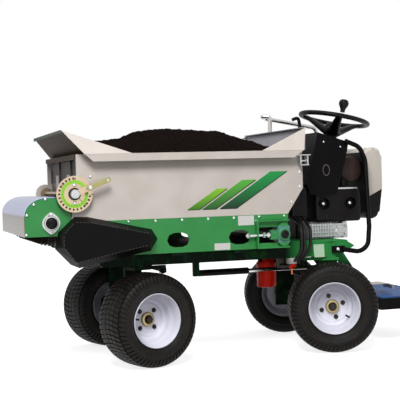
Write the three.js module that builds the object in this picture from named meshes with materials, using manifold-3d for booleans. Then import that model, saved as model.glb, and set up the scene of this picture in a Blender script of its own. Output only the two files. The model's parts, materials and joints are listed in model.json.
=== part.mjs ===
import * as THREE from "three";
import { mergeVertices } from "three/addons/utils/BufferGeometryUtils.js";
import Module from "manifold-3d";

const wasm = await Module();
wasm.setup();

// A self-propelled topdresser with a ride-on platform. Millimetres: X runs along the machine towards the
// operator, Y across it, Z up from the ground. The near side is the side with the gate lever and the
// chain guard.

// Driving dimensions.
const gap = 0.3; // between pieces that touch, and round pieces that turn
const overrun = 6; // how far a cutting tool passes its face
const weld = 1.5; // how far welded pieces run into each other
const degree = Math.PI / 180;
const facets = {
  wheel: 16,
  drum: 14,
  boss: 12,
  bar: 8,
  pin: 6,
  hose: 5,
  bend: 2,
};

const axles = {
  wheelBase: 904,
  track: 680,
  kingpinInset: 58, // kingpin to the tyre's middle plane
  steerRest: 17.5 * degree,
  pinRadius: 15,
  bossRadius: 30,
  bossDrop: 6, // boss below the rail
  capRadius: 24,
  capThickness: 8,
  capRecess: 12,
  plateThickness: 13,
  plateOuter: 26, // top plate outboard of the kingpin
  plateHalf: 40,
  sideInner: 68, // the leg's upright, inboard of the kingpin
  sideThickness: 16,
  sideFoot: 50,
  footHalf: 50,
  motorRadius: 44,
  motorNose: 42,
  motorInboard: 96,
  motorBack: 34,
  spindleRadius: 15,
  tieArm: 120,
  cylinderArm: 110,
  armHalf: 15,
  jointPin: 8,
  jointDrop: 24,
  tieRodRadius: 9,
  eyeRadius: 17,
  eyeHeight: 20,
};
const tyre = {
  radius: 203,
  halfWidth: 93,
  crownHalf: 62,
  shoulderRadius: 195,
  shoulderHalf: 82,
  bulgeRadius: 163,
  casing: 27,
  innerHalf: 76,
  beadWidth: 14,
};
const rim = {
  lipRadius: 116,
  lipHalf: 77.7,
  lipThickness: 4,
  seatRadius: 101,
  seatHalf: 60,
  seatEdge: 69,
  seatEnd: 34,
  wellRadius: 88,
  wellHalf: 26,
  wall: 4,
  discOffset: 9.1, // mounting face, inboard of the middle plane
  discThickness: 6,
  dishRadius: 74,
  dishDepth: 12,
  hubRadius: 31,
  hubProud: 14,
  boltCircle: 50.8,
  boltRadius: 8,
  boltHead: 9,
  bolts: 4,
};
const frame = {
  railInner: 250,
  railWidth: 50,
  railBottom: 432,
  railHeight: 64,
  railWall: 5,
  frontEnd: 620,
  rearTop: 536,
  rearTip: 572,
  rearFoot: 494,
  tipDrop: 22,
  crossWidth: 80,
  crossWall: 6,
  outriggerWidth: 60,
  outriggerTop: 490,
  outriggerHeight: 16,
  outriggerOne: 300,
  outriggerTwo: 12,
  uprightFront: 359,
  uprightRear: 417,
  uprightLean: 9,
  uprightFoot: 428,
  uprightTop: 488,
  uprightSheet: 6,
  cylinderPost: 150,
  postHalf: 13,
  drainHalf: 6,
};
const hopper = {
  halfWidth: 375.5,
  sheet: 3,
  top: 917,
  bottom: 636,
  frontTop: 736,
  frontFoot: 763,
  frontKnee: 800,
  rear: 287,
  rearKnee: 749,
  rearFoot: 212,
  wallFoot: 597,
  railReach: 42.5,
  railDrop: 32,
  railLip: 12,
  railFrontTop: 706,
  railFrontLow: 670,
  railRearTop: 279,
  railRearLow: 234,
  flareTop: 1018,
  frontFlareTop: 794,
  frontFlareFoot: 703,
  rearFlareTop: 308,
  frontGussetEnd: 501,
  rearGussetEnd: 78,
  gussetSheet: 2.5,
  flareInset: 4,
  hemDepth: 12,
  hemThickness: 4,
  rearHem: 19,
  headerWidth: 12,
  headerHeight: 21,
  ribOffset: 141,
  ribWidth: 100,
  ribDepth: 8,
  flareRise: 4,
};
const conveyor = {
  sheet: 3,
  bottom: 486,
  rear: 54,
  shoulder: 613,
  frontBevelX: 720,
  frontBevelZ: 520,
  rollerRadius: 40,
  headX: 715,
  tailX: 181,
  rollerZ: 546,
  shaftRadius: 15,
  beltClearance: 0.6,
  beltThickness: 6,
  beltHalf: 330,
  rollerHalf: 336,
  bedFront: 655,
  bedRear: 122,
  bedSheet: 3,
  slotLength: 100,
  slotHeight: 62,
  slotZ: 541,
  slotOne: 300,
  slotTwo: 20,
  arcSides: 10,
};
const drive = {
  bigRadius: 56.7,
  bigTeeth: 28,
  smallRadius: 24.5,
  smallTeeth: 12,
  smallX: 490,
  smallZ: 554,
  toothHeight: 3,
  plane: 410,
  sprocketThickness: 5,
  chainWidth: 12,
  chainThickness: 3,
  shaftRadius: 10,
  motorRadius: 27,
  motorLength: 110,
  boreDepth: 20,
  hubDepth: 14,
};
const guard = {
  depth: 74.5,
  wall: 2.5,
  // Each corner: how far it lies from the head roller's axis at the back edge and at the face.
  corners: [
    [[-119, -19], [-92, -11]],
    [[-55, -88], [-50, -68]],
    [[-19, -104], [-39, -75]],
    [[291, -45], [268, -16]],
    [[322, 6], [278, 9]],
    [[298, 46], [269, 32]],
    [[20, 109], [18, 87]],
    [[-34, 111], [-46, 91]],
    [[-103, 50], [-92, 42]],
  ],
};
const brush = {
  x: 847,
  z: 634,
  radius: 100,
  coreRadius: 30,
  shaftRadius: 15,
  half: 352,
  rows: 8,
  perRow: 38,
  tuftRoot: 4.4,
  leadFacets: 4, // facets of the core that a row climbs from end to end
  stagger: 0.5,
  plateSheet: 4,
  coverSheet: 2.5,
  coverHalf: 377,
  coverFront: 958,
  coverKneeZ: 667,
  coverTop: 742,
  coverBendX: 862,
  coverBottom: 579,
  coverRear: 797,
  coreSides: 16,
};
const gate = {
  x: 750,
  z: 752,
  shaftRadius: 10,
  pinionTeeth: 19,
  toothModule: 3,
  pinionWidth: 20,
  pinionY: 330,
  plateThickness: 4,
  plateFoot: 594,
  plateTop: 812,
  lipHeight: 28,
  lipDepth: 9,
  travel: 90,
  rackHeadroom: 14,
  rackWidth: 24,
  notchSide: 3,
  guideWidth: 14,
  guideDepth: 8,
  earRadius: 45,
  farCollarRadius: 27,
  farCollar: 14,
  sideGap: 4,
};
const dial = {
  radius: 76,
  thickness: 3,
  standOff: 26,
  spacerRadius: 30,
  slots: 28,
  slotInner: 60,
  slotOuter: 69,
  slotWidth: 4,
  slotStart: 90 * degree,
  slotSweep: 260 * degree,
  hubRadius: 20,
  hubLength: 22,
  armWidth: 24,
  armThickness: 5,
  armReach: 72,
  handleReach: 163,
  handleWidth: 22,
  handleThickness: 4.5,
  handleStep: 5,
  boltRadius: 8,
  holeRadius: 6,
  leverRest: 21.5 * degree,
};
const takeUp = {
  front: 55,
  rear: 208,
  bottom: 487,
  top: 612,
  plate: 5,
  lip: 26,
  lipSheet: 6,
  windowFront: 69,
  windowRear: 202,
  windowBottom: 507,
  windowTop: 583,
  blockHalfX: 27,
  blockHalfZ: 38,
  blockDepth: 24,
  forkFront: 118,
  forkHalf: 21,
  forkWindow: 9,
  forkWindowX: 129,
  forkWindowZ: 8,
  capRadius: 24,
  capDepth: 12,
  rodRadius: 6,
  rodFront: 10,
  rodOut: 15, // rod centre from the bracket's back
  nutRadius: 11,
  nutWidth: 11,
  nutX: 84,
};
const bearing = {
  radius: 38,
  lobeOffset: 34.5,
  lobeRadius: 11,
  flange: 12,
  ringRadius: 33,
  ring: 8,
  capRadius: 25,
  capDepth: 14,
};
const brushMotor = {
  radius: 44,
  length: 78,
  portRadius: 11,
  portHeight: 22,
  portSpacing: 36,
};
const engine = {
  deckThickness: 6,
  deckFront: 252,
  blockFront: 400,
  blockRear: 640,
  blockHalf: 150,
  headFront: 396,
  headRear: 578,
  headHalf: 190,
  headTop: 582,
  fins: 7,
  finThickness: 8,
  shroudFront: 429,
  shroudRear: 668,
  shroudHalf: 190,
  shroudTop: 752,
  shroudBottom: 582.3,
  shroudCorner: 26,
  recessRadius: 28,
  recessDepth: 22,
  recessOneX: 473,
  recessTwoX: 610,
  recessZ: 669,
  bossRadius: 9,
  domeX: 636,
  domeZ: 830,
  domeRadius: 62,
  domeHalf: 130,
  domeNeckHalf: 34,
  coverFront: 700,
  coverRear: 790,
  coverHalf: 168,
  coverTop: 932,
  coverBottom: 589,
  coverTopBend: 84,
  coverLowX: 772,
  coverLowZ: 640,
  neckHalf: 120,
  neckBottom: 640,
  neckTop: 720,
};
const filter = {
  x: 208,
  y: 100,
  radius: 46,
  bottom: 286,
  top: 404,
  edge: 8,
  headHalf: 30,
  headTop: 424,
  armHalf: 16,
};
const consoleBox = {
  half: 200,
  sheet: 3,
  topFrontX: 446,
  topFrontZ: 1005,
  topRearX: 602,
  topRearZ: 958,
  rearKneeX: 595,
  rearKneeZ: 918,
  lowRearX: 552,
  lowRearZ: 759,
  footZ: 700,
  lowFrontX: 382,
  lowFrontZ: 763,
  shelfRear: 646,
  shelfHalf: 62,
  legHalf: 60,
  legThickness: 8,
  columnRadius: 24,
  columnFlare: 9,
  leverX: 500,
  leverY: 150,
  leverEar: 6,
  leverEarHeight: 34,
  leverGap: 10,
};
const steering = {
  x: 625,
  z: 1077,
  tilt: 12 * degree,
  rimRadius: 168,
  rimTube: 9.5,
  hubRadius: 30,
  hubTop: 34,
  hubBottom: 60,
  columnFoot: 124,
  shaftRadius: 9,
  spokeWidth: 24,
  spokeThickness: 9,
  spokeRoot: 16,
  knobAngle: -105 * degree,
  knobRadius: 24,
  knobHeight: 50,
  knobNeck: 9,
  knobPin: 5,
};
const guardTube = {
  radius: 11,
  bend: 34,
  startX: 500,
  startZ: 461,
  lowX: 590,
  lowZ: 445,
  turnX: 632,
  turnZ: 474,
  riseX: 648,
  riseZ: 560,
  riseInward: 16,
  shoulderX: 681,
  shoulderZ: 872,
  neckX: 652,
  neckZ: 934,
  endX: 580,
  endZ: 962,
  footX: 450,
  footZ: 462,
  footLength: 66,
  footHeight: 32,
  footThickness: 12,
};
const grabRail = {
  radius: 8,
  bend: 24,
  postX: 380,
  postY: 250,
  postFoot: 872,
  loopX: 386,
  loopTop: 1112,
  noseX: 346,
  noseY: 268,
  noseZ: 1110,
  barX: 372,
  barY: 290,
  barZ: 1102,
  backX: 646,
  backZ: 1052,
  dropX: 664,
  dropY: 286,
  dropZ: 1010,
  lowX: 600,
  lowY: 244,
  lowZ: 930,
  endX: 560,
  endY: 240,
  endZ: 925,
};
const lever = {
  radius: 6,
  barrel: 9,
  bend: 18,
  kneeForward: 8,
  kneeRise: 44,
  headBack: 2,
  headRise: 88,
  gripBack: 38,
  gripRise: 74,
};
const platform = {
  hingeX: 698,
  hingeZ: 226,
  front: 712,
  rear: 1046,
  half: 280,
  bottom: 162,
  top: 215,
  wall: 4,
  mat: 6.5,
  matInset: 10,
  pinRadius: 8,
  armY: 156,
  armThickness: 10,
  armRoot: 486,
  armNose: 12,
  armTop: 238,
  armFoot: 214,
  lugDrop: 20, // how far the hinge lugs reach down the deck's front
};
const pedal = {
  front: 716,
  flatEnd: 820,
  noseX: 852,
  noseZ: 244,
  top: 272,
  sheet: 4,
  nearY: 147,
  farY: 45,
  postThickness: 6,
  pivotX: 727,
  pivotRadius: 8,
};
const cylinder = {
  radius: 15,
  rodRadius: 9,
  length: 238,
  eyeRadius: 20,
  eyeThickness: 18,
  eyeBore: 13,
  pinRadius: 7,
  z: 374,
  inside: 60,
  stroke: 84,
};
// Each hose runs from the tank, over the rail and down to the manifold: along, across, height.
const hose = {
  radius: 7.5,
  bend: 40,
  routes: [
    [[306, -212, 612], [296, -330, 570], [290, -330, 450], [246, -290, 396], [214, -262, 396]],
    [[326, -212, 612], [314, -322, 560], [308, -328, 450], [268, -290, 400], [242, -262, 400]],
    [[350, -212, 612], [346, -318, 560], [336, -328, 474], [290, -304, 412], [272, -262, 408]],
  ],
};
const tank = {
  half: 230,
  back: 372,
  foot: 606,
  top: 752,
};
const manifold = {
  from: 200,
  to: 290,
  outside: 266,
  inside: 252.3,
  foot: 386,
};

// Finishes.
const finish = (color, roughness, metalness) =>
  new THREE.MeshStandardMaterial({ color, roughness, metalness });
const green = finish(0x2f8f43, 0.4, 0);
const beige = finish(0xd6cdc6, 0.45, 0);
const black = finish(0x17181a, 0.45, 0);
const rubber = finish(0x1c1b1d, 0.9, 0);
const white = finish(0xd9dcea, 0.35, 0);
const zinc = finish(0xc9b48c, 0.4, 0.8);
const steel = finish(0x8d8f92, 0.35, 1);
const stainless = finish(0xb9bcc4, 0.2, 1);
const aluminium = finish(0xa9abad, 0.45, 1);
const chrome = finish(0xdadcdf, 0.08, 1);
const red = finish(0xc81c0a, 0.35, 0);
const ivory = finish(0xcfc4b8, 0.5, 0);
const blue = finish(0x3f74c4, 0.7, 0);

// Solids and meshes.
const machine = new THREE.Group();

function toSolid(geometry) {
  const bare = geometry.index ? geometry.toNonIndexed() : geometry.clone();
  bare.deleteAttribute("normal");
  bare.deleteAttribute("uv");
  const merged = mergeVertices(bare, 1e-3);
  return new wasm.Manifold(
    new wasm.Mesh({
      numProp: 3,
      vertProperties: merged.attributes.position.array,
      triVerts: new Uint32Array(merged.index.array),
    }),
  );
}

function fromSolid(solid) {
  const mesh = solid.getMesh();
  const geometry = new THREE.BufferGeometry();
  geometry.setAttribute("position", new THREE.BufferAttribute(mesh.vertProperties, mesh.numProp));
  geometry.setIndex(new THREE.BufferAttribute(mesh.triVerts, 1));
  return geometry;
}

function join(...shapes) {
  return fromSolid(shapes.map(toSolid).reduce((whole, next) => whole.add(next)));
}

function cut(body, ...tools) {
  return fromSolid(tools.map(toSolid).reduce((whole, tool) => whole.subtract(tool), toSolid(body)));
}

function add(name, geometry, material, group = machine) {
  const mesh = new THREE.Mesh(geometry, material);
  mesh.name = name;
  group.add(mesh);
  return mesh;
}

// A block between three pairs of coordinates.
function block(xs, ys, zs) {
  const size = [xs, ys, zs].map(([from, to]) => Math.abs(to - from));
  const middle = [xs, ys, zs].map(([from, to]) => (from + to) / 2);
  return new THREE.BoxGeometry(...size).translate(...middle);
}

// A round bar along one axis between two coordinates; at gives the other two, in the order X, Y, Z.
function bar(axis, radius, ends, at, sides = facets.bar, endRadius = radius) {
  const length = Math.abs(ends[1] - ends[0]);
  const upright = new THREE.CylinderGeometry(endRadius, radius, length, sides);
  const middle = (ends[0] + ends[1]) / 2;
  if (axis === "x") return upright.rotateZ(-Math.PI / 2).translate(middle, at[0], at[1]);
  if (axis === "y") return upright.translate(at[0], middle, at[1]);
  return upright.rotateX(Math.PI / 2).translate(at[0], at[1], middle);
}

// The radius of a faceted bore whose flats clear a bar by the running gap.
const bore = (radius, sides = facets.bar) => (radius + gap) / Math.cos(Math.PI / sides);

const outline = (points) => new THREE.Shape(points.map(([x, y]) => new THREE.Vector2(x, y)));

// An outline in X and Z, as thick as the two Y coordinates say.
function sidePlate(shape, ys, curveSegments = facets.bend) {
  const depth = Math.abs(ys[1] - ys[0]);
  const solid = new THREE.ExtrudeGeometry(shape, { depth, bevelEnabled: false, curveSegments });
  return solid.rotateX(Math.PI / 2).translate(0, Math.max(...ys), 0);
}

// An outline in Y and Z, run along X.
function lengthwise(shape, xs, curveSegments = facets.bend) {
  const depth = Math.abs(xs[1] - xs[0]);
  const solid = new THREE.ExtrudeGeometry(shape, { depth, bevelEnabled: false, curveSegments });
  const turn = new THREE.Matrix4().set(0, 0, 1, Math.min(...xs), 1, 0, 0, 0, 0, 1, 0, 0, 0, 0, 0, 1);
  return solid.applyMatrix4(turn);
}

// A flat sheet on the given corners, thickened along its own normal.
function sheetOn(corners, thickness) {
  const points = corners.map((corner) => new THREE.Vector3(...corner));
  const normal = new THREE.Vector3()
    .crossVectors(points[1].clone().sub(points[0]), points[2].clone().sub(points[0]))
    .normalize();
  const top = points.map((point) => point.clone().addScaledVector(normal, thickness));
  return loft(points, top);
}

// A closed solid between two rings of points that match one to one; the first ring runs anticlockwise
// seen from
// the second.
function loft(first, second) {
  const count = first.length;
  const positions = [];
  const triangle = (a, b, c) => positions.push(...a.toArray(), ...b.toArray(), ...c.toArray());
  for (let i = 0; i < count; i++) {
    const j = (i + 1) % count;
    triangle(first[i], first[j], second[j]);
    triangle(first[i], second[j], second[i]);
    if (i > 0 && j > 0) {
      triangle(first[0], first[j], first[i]);
      triangle(second[0], second[i], second[j]);
    }
  }
  const geometry = new THREE.BufferGeometry();
  geometry.setAttribute("position", new THREE.Float32BufferAttribute(positions, 3));
  return geometry;
}

// A route of straight runs whose corners are rounded, as the points that a tube follows.
class Route extends THREE.Curve {
  constructor(corners, bend, steps = facets.bend) {
    super();
    const points = corners.map((corner) => new THREE.Vector3(...corner));
    this.points = [points[0]];
    for (let i = 1; i < points.length - 1; i++) {
      const [before, corner, after] = [points[i - 1], points[i], points[i + 1]];
      const room = Math.min(bend, before.distanceTo(corner) / 2.1, after.distanceTo(corner) / 2.1);
      const start = corner.clone().add(before.clone().sub(corner).setLength(room));
      const end = corner.clone().add(after.clone().sub(corner).setLength(room));
      this.points.push(...new THREE.QuadraticBezierCurve3(start, corner, end).getPoints(steps));
    }
    this.points.push(points[points.length - 1]);
  }
  getSpacedPoints() {
    return this.points;
  }
  computeFrenetFrames() {
    const last = this.points.length - 1;
    const tangents = this.points.map((point, i) => {
      const before = this.points[Math.max(i - 1, 0)];
      const after = this.points[Math.min(i + 1, last)];
      return after.clone().sub(before).normalize();
    });
    const side = Math.abs(tangents[0].y) < 0.9 ? new THREE.Vector3(0, 1, 0) : new THREE.Vector3(0, 0, 1);
    const normals = [side.addScaledVector(tangents[0], -side.dot(tangents[0])).normalize()];
    for (let i = 1; i <= last; i++) {
      const turn = new THREE.Quaternion().setFromUnitVectors(tangents[i - 1], tangents[i]);
      normals.push(normals[i - 1].clone().applyQuaternion(turn));
    }
    const binormals = tangents.map((tangent, i) => new THREE.Vector3().crossVectors(tangent, normals[i]));
    return { tangents, normals, binormals };
  }
}

function tube(corners, radius, bend, sides = facets.pin) {
  const route = new Route(corners, bend);
  const section = outline(
    Array.from({ length: sides }, (_, i) => {
      const angle = (2 * Math.PI * i) / sides;
      return [radius * Math.cos(angle), radius * Math.sin(angle)];
    }),
  );
  return new THREE.ExtrudeGeometry(section, { extrudePath: route, steps: route.points.length - 1 });
}

// A ring of teeth as an outline.
function toothedShape(radius, teeth, height) {
  const points = [];
  for (let i = 0; i < teeth; i++) {
    for (const [share, rise] of [[-0.24, -height], [0, height], [0.24, -height]]) {
      const angle = (2 * Math.PI * (i + share)) / teeth;
      points.push([(radius + rise) * Math.cos(angle), (radius + rise) * Math.sin(angle)]);
    }
  }
  return outline(points);
}

// The outline of a loop laid round two pulleys, as points from the first pulley round to the second.
function loopPoints(first, second, sides) {
  const dx = second.x - first.x;
  const dz = second.z - first.z;
  const spread = Math.hypot(dx, dz);
  const heading = Math.atan2(dz, dx);
  const lean = Math.acos((first.radius - second.radius) / spread);
  const points = [];
  const arc = (pulley, from, to) => {
    for (let i = 0; i <= sides; i++) {
      const angle = from + ((to - from) * i) / sides;
      points.push([pulley.x + pulley.radius * Math.cos(angle), pulley.z + pulley.radius * Math.sin(angle)]);
    }
  };
  arc(second, heading - lean, heading + lean);
  arc(first, heading + lean, heading + 2 * Math.PI - lean);
  return points;
}

function loopBand(first, second, inset, thickness, ys, sides) {
  const grown = (pulley, by) => ({ ...pulley, radius: pulley.radius + by });
  const shape = outline(
    loopPoints(grown(first, inset + thickness), grown(second, inset + thickness), sides),
  );
  shape.holes.push(
    new THREE.Path(outline(loopPoints(grown(first, inset), grown(second, inset), sides)).getPoints()),
  );
  return sidePlate(shape, ys);
}

// Both ranges of a piece that is mirrored from the near side (-1) to the far side (+1).
const across = (side, from, to) => [side * from, side * to].sort((a, b) => a - b);
const sides = [
  ["near", -1],
  ["far", 1],
];

// Chassis: two rails with the kingpin bosses, two cross members, and the engine deck with the platform's
// arms.
const railTop = frame.railBottom + frame.railHeight;
const railOuter = frame.railInner + frame.railWidth;
const kingpinX = axles.wheelBase / 2;
const kingpinY = axles.track / 2 - axles.kingpinInset;
const plateInner = hopper.halfWidth - conveyor.sheet;
const bossFoot = frame.railBottom - axles.bossDrop;
const cylinderY = kingpinY - axles.cylinderArm * Math.cos(axles.steerRest);

function frameRail(name, side) {
  const shape = outline([
    [-frame.frontEnd, frame.railBottom],
    [frame.rearFoot, frame.railBottom],
    [frame.rearTip, railTop - frame.tipDrop],
    [frame.rearTop, railTop],
    [-frame.frontEnd, railTop],
  ]);
  const hollow = block(
    [-frame.frontEnd - overrun, frame.rearFoot],
    across(side, frame.railInner + frame.railWall, railOuter - frame.railWall),
    [frame.railBottom + frame.railWall, railTop - frame.railWall],
  );
  const parts = [cut(sidePlate(shape, across(side, frame.railInner, railOuter)), hollow)];
  const tools = [-frame.outriggerTwo, (kingpinX + frame.rearFoot + axles.bossRadius) / 2].map((x) =>
    block(
      [x - frame.drainHalf, x + frame.drainHalf],
      across(side, frame.railInner + 2 * frame.railWall, railOuter - 2 * frame.railWall),
      [frame.railBottom - overrun, frame.railBottom + frame.railWall + overrun],
    ),
  );
  for (const x of [-kingpinX, kingpinX]) {
    const at = [x, side * kingpinY];
    const pad = railOuter + frame.uprightSheet;
    parts.push(
      cut(
        bar("z", axles.bossRadius, [bossFoot, railTop - weld], at, facets.boss),
        block(
          [x - 2 * axles.bossRadius, x + 2 * axles.bossRadius],
          across(side, pad, pad + axles.bossRadius),
          [bossFoot - overrun, railTop + overrun],
        ),
      ),
    );
    tools.push(bar("z", bore(axles.pinRadius), [bossFoot - overrun, railTop], at));
    tools.push(
      bar("z", bore(axles.capRadius, facets.bar), [railTop - axles.capRecess, railTop + overrun], at, facets.bar),
    );
  }
  for (const x of [-frame.outriggerOne, -frame.outriggerTwo]) {
    parts.push(
      block(
        [x - frame.outriggerWidth / 2, x + frame.outriggerWidth / 2],
        across(side, railOuter - weld, plateInner - gap),
        [frame.outriggerTop - frame.outriggerHeight, frame.outriggerTop],
      ),
    );
  }
  const upright = outline([
    [frame.uprightFront + frame.uprightLean, frame.uprightFoot],
    [frame.uprightRear + frame.uprightLean, frame.uprightFoot],
    [frame.uprightRear, frame.uprightTop],
    [frame.uprightFront, frame.uprightTop],
  ]);
  parts.push(sidePlate(upright, across(side, railOuter - weld, railOuter + frame.uprightSheet)));
  if (side < 0) {
    parts.push(
      block(
        [guardTube.footX, guardTube.footX + guardTube.footLength],
        [-railOuter - frame.uprightSheet, -railOuter + weld],
        [guardTube.footZ - guardTube.footHeight / 2, guardTube.footZ + guardTube.footHeight / 2],
      ),
    );
    const post = [-frame.cylinderPost - 2 * frame.postHalf, -frame.cylinderPost];
    const reach = [-frame.railInner - weld, -cylinderY + frame.postHalf];
    parts.push(block(post, reach, [frame.railBottom, frame.railBottom + 2 * frame.postHalf]));
    parts.push(
      block(
        post,
        [-cylinderY - frame.postHalf, -cylinderY + frame.postHalf],
        [cylinder.z - frame.postHalf, frame.railBottom + weld],
      ),
    );
  }
  add(name, cut(join(...parts), ...tools), green);
}

function crossTube(x) {
  const half = frame.railInner - gap;
  const width = [x - frame.crossWidth / 2, x + frame.crossWidth / 2];
  const top = frame.outriggerTop;
  const outer = block(width, [-half, half], [frame.railBottom, top]);
  const inner = block(
    [width[0] + frame.crossWall, width[1] - frame.crossWall],
    [-half - overrun, half + overrun],
    [frame.railBottom + frame.crossWall, top - frame.crossWall],
  );
  return cut(outer, inner);
}

function rearCrossmember() {
  const bottom = railTop + gap;
  const top = bottom + engine.deckThickness;
  const plate = block([engine.deckFront, frame.rearTop], [-railOuter, railOuter], [bottom, top]);
  const arm = outline([
    [platform.armRoot, frame.outriggerTop - frame.crossWall],
    [platform.armRoot, top - weld],
    [frame.rearTop, top - weld],
    [platform.hingeX + platform.armNose, platform.armTop],
    [platform.hingeX + platform.armNose, platform.armFoot],
    [platform.hingeX - platform.armNose, platform.armFoot],
  ]);
  const arms = sides.map(([, side]) => {
    const half = platform.armThickness / 2;
    const ys = across(side, platform.armY - half, platform.armY + half);
    const hole = bar(
      "y",
      bore(platform.pinRadius),
      [ys[0] - overrun, ys[1] + overrun],
      [platform.hingeX, platform.hingeZ],
    );
    return cut(sidePlate(arm, ys), hole);
  });
  const webHalf = frame.crossWidth / 2;
  const web = block(
    [kingpinX - webHalf, kingpinX + webHalf],
    [-webHalf, webHalf],
    [frame.outriggerTop - weld, bottom + weld],
  );
  add("rear_crossmember", join(crossTube(kingpinX), web, plate, ...arms), green);
}

// Conveyor: side plates, bed, belt, two rollers and the take-up bearings.
const head = { x: -conveyor.headX, z: conveyor.rollerZ, radius: conveyor.rollerRadius };
const tail = { x: conveyor.tailX, z: conveyor.rollerZ, radius: conveyor.rollerRadius };

function slot(centre, ys) {
  const radius = conveyor.slotHeight / 2;
  const reach = conveyor.slotLength / 2 - radius;
  const shape = new THREE.Shape();
  shape.absarc(centre + reach, conveyor.slotZ, radius, -Math.PI / 2, Math.PI / 2);
  shape.absarc(centre - reach, conveyor.slotZ, radius, Math.PI / 2, (3 * Math.PI) / 2);
  return sidePlate(shape, ys, facets.bend);
}

function conveyorSide(name, side) {
  const shape = outline([
    [-hopper.frontFoot, hopper.bottom],
    [-hopper.frontFoot, conveyor.frontBevelZ],
    [-conveyor.frontBevelX, conveyor.bottom],
    [conveyor.rear, conveyor.bottom],
    [conveyor.rear, conveyor.shoulder],
    [hopper.rearFoot, conveyor.shoulder],
    [hopper.rearFoot, hopper.bottom],
  ]);
  const ys = across(side, plateInner, hopper.halfWidth);
  const through = [ys[0] - overrun, ys[1] + overrun];
  const plate = cut(
    sidePlate(shape.clone(), ys),
    slot(-conveyor.slotOne, through),
    slot(-conveyor.slotTwo, through),
    bar("y", bore(conveyor.shaftRadius), through, [head.x, head.z]),
    bar("y", bore(drive.shaftRadius), through, [-drive.smallX, drive.smallZ]),
  );
  add(name, plate, green);
}

function conveyorBelt() {
  const band = loopBand(
    head,
    tail,
    conveyor.beltClearance,
    conveyor.beltThickness,
    [-conveyor.beltHalf, conveyor.beltHalf],
    conveyor.arcSides,
  );
  add("conveyor_belt", band, rubber);
}

function conveyorBed() {
  const top = conveyor.rollerZ + conveyor.rollerRadius + conveyor.beltClearance - gap;
  const half = plateInner - gap;
  const sheet = block([-conveyor.bedFront, conveyor.bedRear], [-half, half], [top - conveyor.bedSheet, top]);
  add("conveyor_bed", sheet, steel);
}

function sprocket(x, z, radius, teeth, boreRadius) {
  const ys = [-drive.plane - drive.sprocketThickness / 2, -drive.plane + drive.sprocketThickness / 2];
  const disc = sidePlate(toothedShape(radius, teeth, drive.toothHeight / 2), ys).translate(x, 0, z);
  const hub = bar("y", boreRadius + overrun, [ys[0] - drive.hubDepth / 2, ys[1] + drive.hubDepth], [x, z]);
  return [disc, hub];
}

function headRoller() {
  const drum = bar(
    "y",
    conveyor.rollerRadius,
    [-conveyor.rollerHalf, conveyor.rollerHalf],
    [head.x, head.z],
    facets.drum,
  );
  const farEnd = hopper.halfWidth;
  const nearEnd = drive.plane + drive.hubDepth;
  const shaft = bar("y", conveyor.shaftRadius, [-nearEnd, farEnd], [head.x, head.z]);
  const wheel = sprocket(head.x, head.z, drive.bigRadius, drive.bigTeeth, conveyor.shaftRadius);
  add("head_roller", join(drum, shaft, ...wheel), steel);
}

function tailRoller() {
  const drum = bar(
    "y",
    conveyor.rollerRadius,
    [-conveyor.rollerHalf, conveyor.rollerHalf],
    [tail.x, tail.z],
    facets.drum,
  );
  const end = hopper.halfWidth + takeUp.blockDepth - takeUp.plate;
  const shaft = bar("y", conveyor.shaftRadius, [-end, end], [tail.x, tail.z]);
  add("tail_roller", join(drum, shaft), steel);
}

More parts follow.
